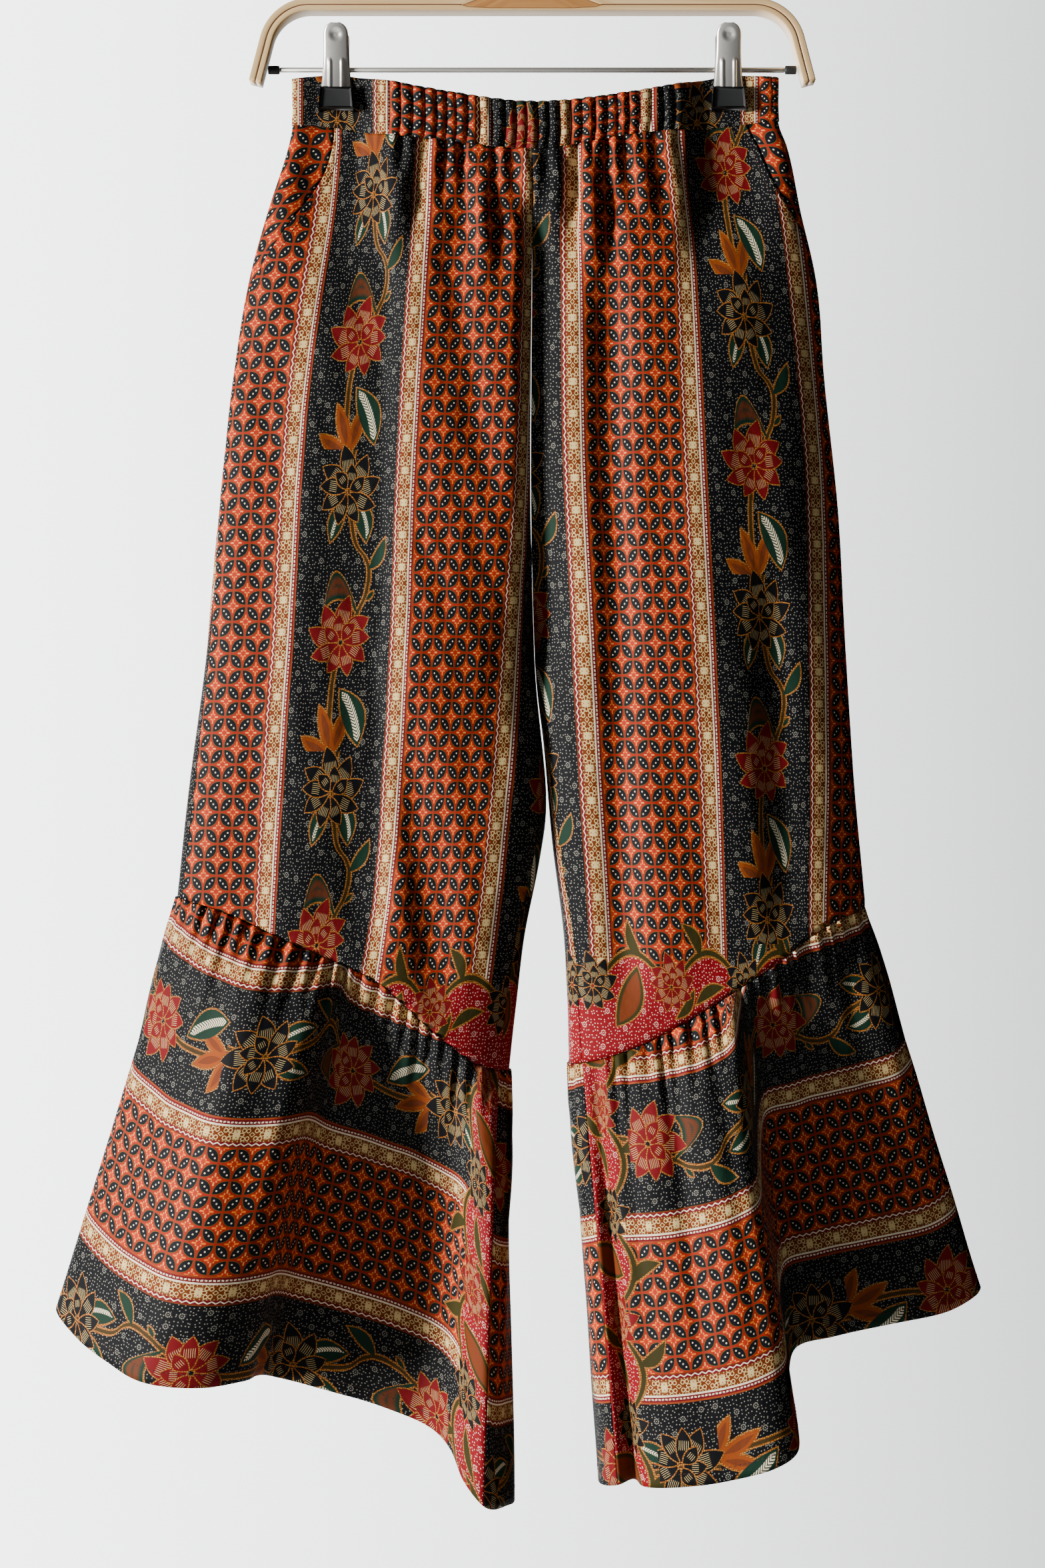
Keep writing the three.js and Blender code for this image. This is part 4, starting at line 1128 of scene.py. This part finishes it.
def wood_material(name, light, dark, mark):
    """Fine grain along X with short pores and a few reddish marks."""
    material, shader = open_material(name)
    flat = node("UVMap", {}, uv_map="print").outputs[0]

    def grain(stretch, size, detail):
        place = node("Mapping", {"Scale": (stretch, 1, 1), "Vector": flat}).outputs[0]
        return Field(noise(place, 1 / size, detail))

    rings = grain(0.04, 0.004, 3)
    pores = grain(0.09, 0.0009, 2)
    marks = grain(0.3, 0.009, 2)
    tone = paint(light, Field.math("MULTIPLY_ADD", rings, 3, -1.1, clamp=True), dark)
    tone = paint(tone, Field.math("MULTIPLY_ADD", pores, 6, -3.6, clamp=True) * 0.5, dark)
    tone = paint(tone, Field.math("MULTIPLY_ADD", marks, 12, -8.6, clamp=True), mark)
    shade(shader, tone, 0.38, Normal=bump(pores, 0.2, 0.0002))
    return material


def plank(name, upper, lower, depth, material, corner=0.8):
    """A strip of wood between two lines of (x, z) points, with rounded edges, as deep as given along Y."""
    upper, lower = np.asarray(upper, float), np.asarray(lower, float)
    thick = np.linalg.norm(upper - lower, axis=1)
    along = arc(upper[None])[0]
    around = []
    for end_y, end_t, start in ((1, 0, 0), (1, 1, 1), (-1, 1, 2), (-1, 0, 3)):
        for a in np.linspace(0, math.pi / 2, 4) + start * math.pi / 2:
            around.append((end_y, end_t, math.sin(a), -math.cos(a)))
    vertices, uv = [], []
    for station in range(len(upper)):
        round_here = min(corner, thick[station] * 0.45)
        for end_y, end_t, dy, dt in around:
            y = end_y * (depth / 2 - round_here) + dy * round_here
            inset = end_t * (thick[station] - 2 * round_here) + round_here + dt * round_here
            x, z = mix(upper[station], lower[station], inset / thick[station])
            vertices.append((x, y, z))
            uv.append((along[station], inset + y))
    return mesh_object(name, vertices, tube_faces(len(upper), len(around)), uv, material)


BAR_TOP = -87
STRIP = 9
GLUE_AT = 4.9  # the glue line lies this far below the bar's top
GLUE = 0.5
BEND_X, BEND_RADIUS = 159.5, 37
END_LEAN = math.radians(14.7)
END_LENGTH = 32
HANGER_DEPTH = 16


def hanger_lines(inset, bar_line):
    """A line along the bent strip at a distance in from its outer face, from the left end to the right."""
    centre = BAR_TOP - BEND_RADIUS
    radius = BEND_RADIUS - inset
    half = [(x, bar_line(x)) for x in np.linspace(0, BEND_X, 90)]
    for turn in np.linspace(math.pi / 2, END_LEAN, 22)[1:]:
        half.append((BEND_X + radius * math.cos(turn), centre + radius * math.sin(turn)))
    x, z = half[-1]
    for step in (0.35, 0.7, 0.94, 1):
        reach = step * END_LENGTH
        half.append((x + reach * math.sin(END_LEAN), z - reach * math.cos(END_LEAN)))
    half = np.array(half)
    return np.concatenate((half[:0:-1] * [-1, 1], half))


def make_hanger():
    """The bentwood bar of two glued strips, with the wedge let in below the hook."""
    def top(x):
        return mix(BAR_TOP, -70, float(smooth(62 - x, 0, 42)))

    def under_upper(x):
        flat = BAR_TOP - GLUE_AT + GLUE / 2
        return float(np.interp(x, [15, 33.4, 48, 52], [-76, -86.2, flat - 0.2, flat]))

    def over_lower(x):
        flat = BAR_TOP - GLUE_AT - GLUE / 2
        return float(np.interp(x, [30, 46, 51], [-94.6, -93.6, flat]))

    upper = hanger_lines(0, top), hanger_lines(GLUE_AT - GLUE / 2, under_upper)
    lower = hanger_lines(GLUE_AT + GLUE / 2, over_lower), hanger_lines(STRIP, lambda x: BAR_TOP - STRIP)
    beech = wood_material("beech", colour(216, 184, 134), colour(198, 160, 108), colour(140, 84, 44))
    veneer = wood_material("veneer", colour(178, 128, 74), colour(150, 100, 54), colour(112, 66, 34))
    glue = plain_material("glue_line", colour(96, 50, 28), 0.6)
    stand_for(plank("hanger_upper_strip", *upper, HANGER_DEPTH, beech), "hanger_frame")
    stand_for(plank("hanger_lower_strip", *lower, HANGER_DEPTH, beech, 0.6), None)
    seam = plank("hanger_glue_line", upper[1], lower[0], HANGER_DEPTH - 0.5, glue, 0.1)
    stand_for(seam, None)
    xs = np.linspace(-50.5, 50.5, 81)
    wedge_top = [(x, under_upper(abs(x)) - 0.15) for x in xs]
    wedge_bottom = [(x, min(over_lower(abs(x)) + 0.15, under_upper(abs(x)) - 0.35)) for x in xs]
    wedge = plank("hanger_wedge_veneer", wedge_top, wedge_bottom, HANGER_DEPTH - 0.2, veneer, 0.3)
    stand_for(wedge, "hanger_wedge")


def round_wire(name, points, radius, material):
    """A round wire through points, as a curve."""
    data = bpy.data.curves.new(name, "CURVE")
    data.dimensions = "3D"
    data.bevel_depth = radius * MM
    data.bevel_resolution = 4
    data.use_fill_caps = True
    line = data.splines.new("POLY")
    line.points.add(len(points) - 1)
    for slot, (x, y, z) in zip(line.points, points):
        slot.co = (x * MM, y * MM, z * MM, 1)
    return add_object(name, data, material)


def turned(name, profile, down, material, sides=40):
    """A body turned about a line along X: the profile is a list of (x, radius)."""
    vertices = []
    for x, radius in profile:
        for turn in 2 * math.pi / sides * np.arange(sides):
            vertices.append((x, radius * math.cos(turn), radius * math.sin(turn) - down))
    return mesh_object(name, vertices, tube_faces(len(profile), sides), None, material)


ROD_DOWN = 137
ROD_RADIUS = 1.9
ROD_HALF = 181.7
HOOK_RADIUS = 20
HOOK_START, HOOK_END = -48, 212  # where the hook's round part begins and ends, in degrees
SHANK_BOTTOM, SHANK_TOP = -69.7, -57
SHANK_PULL = 13  # how strongly the bend between shank and hook is rounded
WIRE_RADIUS = 1.8
FERRULE = [(182, 2.4), (182.3, 2.9), (182.9, 3.1), (189.3, 3.1), (189.9, 2.9), (190.2, 2.4)]


def make_hook_and_rod():
    points = [(0, 0, z) for z in np.linspace(SHANK_BOTTOM, SHANK_TOP, 8)]
    middle = WIRE_RADIUS - HOOK_RADIUS
    turn = math.radians(HOOK_START)
    start = np.array([0.0, SHANK_TOP])
    end = np.array([HOOK_RADIUS * math.cos(turn), middle + HOOK_RADIUS * math.sin(turn)])
    out = start + [0, SHANK_PULL]
    back = end - SHANK_PULL * np.array([-math.sin(turn), math.cos(turn)])
    for t in np.linspace(0, 1, 16)[1:]:
        a, b, c, d = (1 - t) ** 3, 3 * t * (1 - t) ** 2, 3 * t * t * (1 - t), t**3
        x, z = a * start + b * out + c * back + d * end
        points.append((x, 0, z))
    for turn in np.radians(np.linspace(HOOK_START, HOOK_END, 80))[1:]:
        points.append((HOOK_RADIUS * math.cos(turn), 0, middle + HOOK_RADIUS * math.sin(turn)))
    stand_for(round_wire("hook_wire", points, WIRE_RADIUS, steel), "hook")
    r = ROD_RADIUS
    rod = [(-ROD_HALF, r - 0.4), (-ROD_HALF + 0.4, r), (ROD_HALF - 0.4, r), (ROD_HALF, r - 0.4)]
    stand_for(turned("clip_rod", rod, ROD_DOWN, steel), "rod")
    for side in (LEFT, RIGHT):
        profile = [(side * x, radius) for x, radius in FERRULE]
        name = SIDE_NAME[side]
        stand_for(turned(f"rod_end_{name}", profile, ROD_DOWN, rubber), f"ferrule_{name}")


PLATE = table("down half out", [
    (106, 2.4, 11.2), (106.5, 4.2, 11.1), (107.4, 5.8, 10.9), (109, 7.3, 10.4), (111, 8.2, 9.7),
    (114, 8.5, 8.9), (118, 8.5, 8.1), (128, 8.7, 6), (137, 9.3, 5.1), (145, 9.9, 5.3), (151.4, 10.8, 5.8),
])
DIMPLE = {"down": 113.6, "radius": 5.6, "depth": 1.5}
RIBS = {"x": 4.4, "half": 1.7, "height": 1.1, "top": 131}
RUBBER = {"half_top": 10.9, "half_bottom": 12.3, "top": 151.3, "bottom": 166.6, "inner": 3.15, "outer": 9}
RUBBER_ROUNDING = 1.6
PLATE_WALL = 0.9
COIL = {"turns": 6.5, "half": 4.9, "radius": 3.05, "wire": 0.7}


def make_clip_plate(side, face):
    """A bent steel plate with a dimple, two ribs and a rounded top."""
    downs = np.concatenate((106 + 5 * np.linspace(0, 1, 12) ** 1.8, np.linspace(111, 151.4, 62)[1:]))
    w = np.linspace(-1, 1, 41)
    half = read(PLATE, "down", "half", downs)[:, None]
    out = read(PLATE, "down", "out", downs)[:, None]
    x = half * w[None, :]
    down = downs[:, None] + 0 * x
    curl = 1.5 * (x / 9) ** 2 + 0.9 * smooth(np.abs(w), 0.9, 1)[None, :]
    away = np.hypot(x, down - DIMPLE["down"]) / DIMPLE["radius"]
    dent = DIMPLE["depth"] * (1 - smooth(away, 0.2, 1))
    across = np.abs(np.abs(x) - RIBS["x"]) / RIBS["half"]
    rib = RIBS["height"] * (1 - smooth(across, 0, 1))
    rib *= smooth(down, RIBS["top"] - 2, RIBS["top"] + 1.5)
    y = face * (out - curl - dent + rib)
    points = np.stack((side * CLIP_X + x, y, -down), axis=-1)
    normal = grid_normals(points, face)
    name = f"clip_{SIDE_NAME[side]}"
    obj = shell(f"{name}_steel_{FACE_NAME[face]}", points, normal, PLATE_WALL, None, [steel])
    stand_for(obj, f"{name}_plate_{FACE_NAME[face]}")


def make_clip_rubber(side, face):
    """A rounded block that flares to its lower edge."""
    r = RUBBER
    net = bmesh.new()
    bmesh.ops.create_cube(net, size=1)
    for vertex in net.verts:
        low = vertex.co.z < 0
        vertex.co.x = vertex.co.x * 2 * (r["half_bottom"] if low else r["half_top"])
        vertex.co.z = -r["bottom"] if low else -r["top"]
        near = vertex.co.y < 0
        vertex.co.y = face * (r["inner"] if near else r["outer"] - (0 if low else RUBBER_ROUNDING))
    rounding = {"offset": RUBBER_ROUNDING, "segments": 4, "profile": 0.5}
    bmesh.ops.bevel(net, geom=list(net.edges), affect="EDGES", **rounding)
    net.verts.index_update()
    vertices = [vertex.co + Vector((side * CLIP_X, 0, 0)) for vertex in net.verts]
    faces = [[vertex.index for vertex in face_of.verts] for face_of in net.faces]
    name = f"clip_{SIDE_NAME[side]}"
    obj = mesh_object(f"{name}_jaw_{FACE_NAME[face]}", vertices, faces, None, rubber)
    net.free()
    stand_for(obj, f"{name}_rubber_{FACE_NAME[face]}")


def make_clips():
    for side in (LEFT, RIGHT):
        points = []
        for t in np.linspace(0, 1, 190):
            angle = 2 * math.pi * COIL["turns"] * t
            x = side * CLIP_X + mix(-COIL["half"], COIL["half"], t)
            y, z = COIL["radius"] * math.sin(angle), COIL["radius"] * math.cos(angle)
            points.append((x, y, z - ROD_DOWN))
        coil = round_wire(f"clip_{SIDE_NAME[side]}_coil", points, COIL["wire"], steel)
        stand_for(coil, f"clip_{SIDE_NAME[side]}_spring")
        for face in (FRONT, BACK):
            make_clip_plate(side, face)
            make_clip_rubber(side, face)


THREAD = 0.42  # thickness of the sewing thread
STITCH, STITCH_GAP = 2.4, 1.1
STITCH_RINGS = [(0, 0.3), (0.12, 0.8), (0.5, 1), (0.88, 0.8), (1, 0.3)]  # share along, and thickness


def stitches(name, points, normals, sides=6):
    """Short threads laid on the cloth along a line of its points, joined in one mesh."""
    points = points + normals * (CLOTH / 2 + THREAD_LIFT)
    run = arc(points[None])[0]
    vertices, faces = [], []
    for i in range(int(run[-1] // (STITCH + STITCH_GAP))):
        start = (i + 0.5) * (STITCH + STITCH_GAP) - STITCH / 2
        a, b = follow(start, run, points), follow(start + STITCH, run, points)
        up = unit(follow(start + STITCH / 2, run, normals))
        side = unit(np.cross(b - a, up))
        faces += tube_faces(len(STITCH_RINGS), sides, len(vertices))
        for share, size in STITCH_RINGS:
            middle = mix(a, b, share) + up * THREAD * 0.25 * math.sin(math.pi * share)
            for turn in 2 * math.pi / sides * np.arange(sides):
                off = side * math.cos(turn) + up * math.sin(turn) * 0.7
                vertices.append(middle + off * size * THREAD / 2)
    stand_for(mesh_object(name, vertices, faces, None, thread), None)


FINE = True
LEG_SEAM_ROWS = 60 if FINE else 30
LEG_ROWS = 95 if FINE else 60
LEG_COLUMNS = 130 if FINE else 90
BAND_ROWS = 17
BAND_COLUMNS = 480 if FINE else 300
RUFFLE_SEAM_ROWS = 26
RUFFLE_ROWS = 54 if FINE else 40
RUFFLE_COLUMNS = 280 if FINE else 200


print_group = cloth_print()
cloth_materials = [
    cloth_material(print_group, "batik", 0),
    cloth_material(print_group, "batik_inner_side", 0.35),
]
steel = plain_material("nickelled_steel", colour(232, 230, 224), 0.34, 0.8)
rubber = plain_material("black_rubber", colour(22, 24, 26), 0.62)
thread = plain_material("thread", colour(60, 30, 22), 0.8)

make_hanger()
make_hook_and_rod()
make_clips()
for face in (FRONT, BACK):
    make_waistband(face)
for side in (LEFT, RIGHT):
    for face in (FRONT, BACK):
        seam_points, seam_normals = make_leg(side, face)
        make_ruffle(side, face, seam_points, seam_normals)
    make_pocket(side)


def add_camera():
    data = bpy.data.cameras.new("view")
    data.sensor_fit = "VERTICAL"
    data.angle = 2 * math.atan(VIEW_HEIGHT / 2 / CAMERA_DISTANCE)
    camera = add_object("view", data)
    camera.location = (CAMERA_X * MM, -CAMERA_DISTANCE * MM, -CAMERA_DOWN * MM)
    camera.rotation_euler = (math.radians(90), 0, 0)
    bpy.context.scene.camera = camera


def add_light(name, place, size, energy, tone):
    """A soft light like a window, turned to the object's middle."""
    data = bpy.data.lights.new(name, "AREA")
    data.shape = "RECTANGLE"
    data.size, data.size_y = size
    data.energy = energy
    data.color = tone
    light = add_object(name, data)
    light.location = place
    light.rotation_euler = (Vector(MIDDLE) - Vector(place)).to_track_quat("-Z", "Y").to_euler()


def add_world():
    """Soft light all round: pale behind the object and dim on the viewer's side."""
    world = bpy.data.worlds.new("world")
    world.use_nodes = True
    Field.tree = world.node_tree
    right, back = parts(node("TexCoord", {}).outputs["Generated"])
    share = Field.math("MULTIPLY_ADD", back, *WORLD_RISE, clamp=True)
    behind = Field.math("POWER", share, 4)
    sideways = Field.math("MULTIPLY_ADD", right, WORLD_LEAN, 1)
    background = Field.tree.nodes["Background"]
    feed(background.inputs["Color"], (0.96, 0.98, 1, 1))
    feed(background.inputs["Strength"], behind * sideways * WORLD_BEHIND + WORLD_FRONT)
    bpy.context.scene.world = world


def add_floor():
    mesh = bpy.data.meshes.new("floor")
    net = bmesh.new()
    bmesh.ops.create_circle(net, cap_ends=True, radius=FLOOR_RADIUS * MM, segments=96)
    net.to_mesh(mesh)
    net.free()
    floor = add_object("floor", mesh, plain_material("pale_floor", colour(232, 232, 230), 0.8))
    floor.location.z = -FLOOR_DOWN * MM


add_camera()
for light in LIGHTS:
    add_light(**light)
add_world()
add_floor()
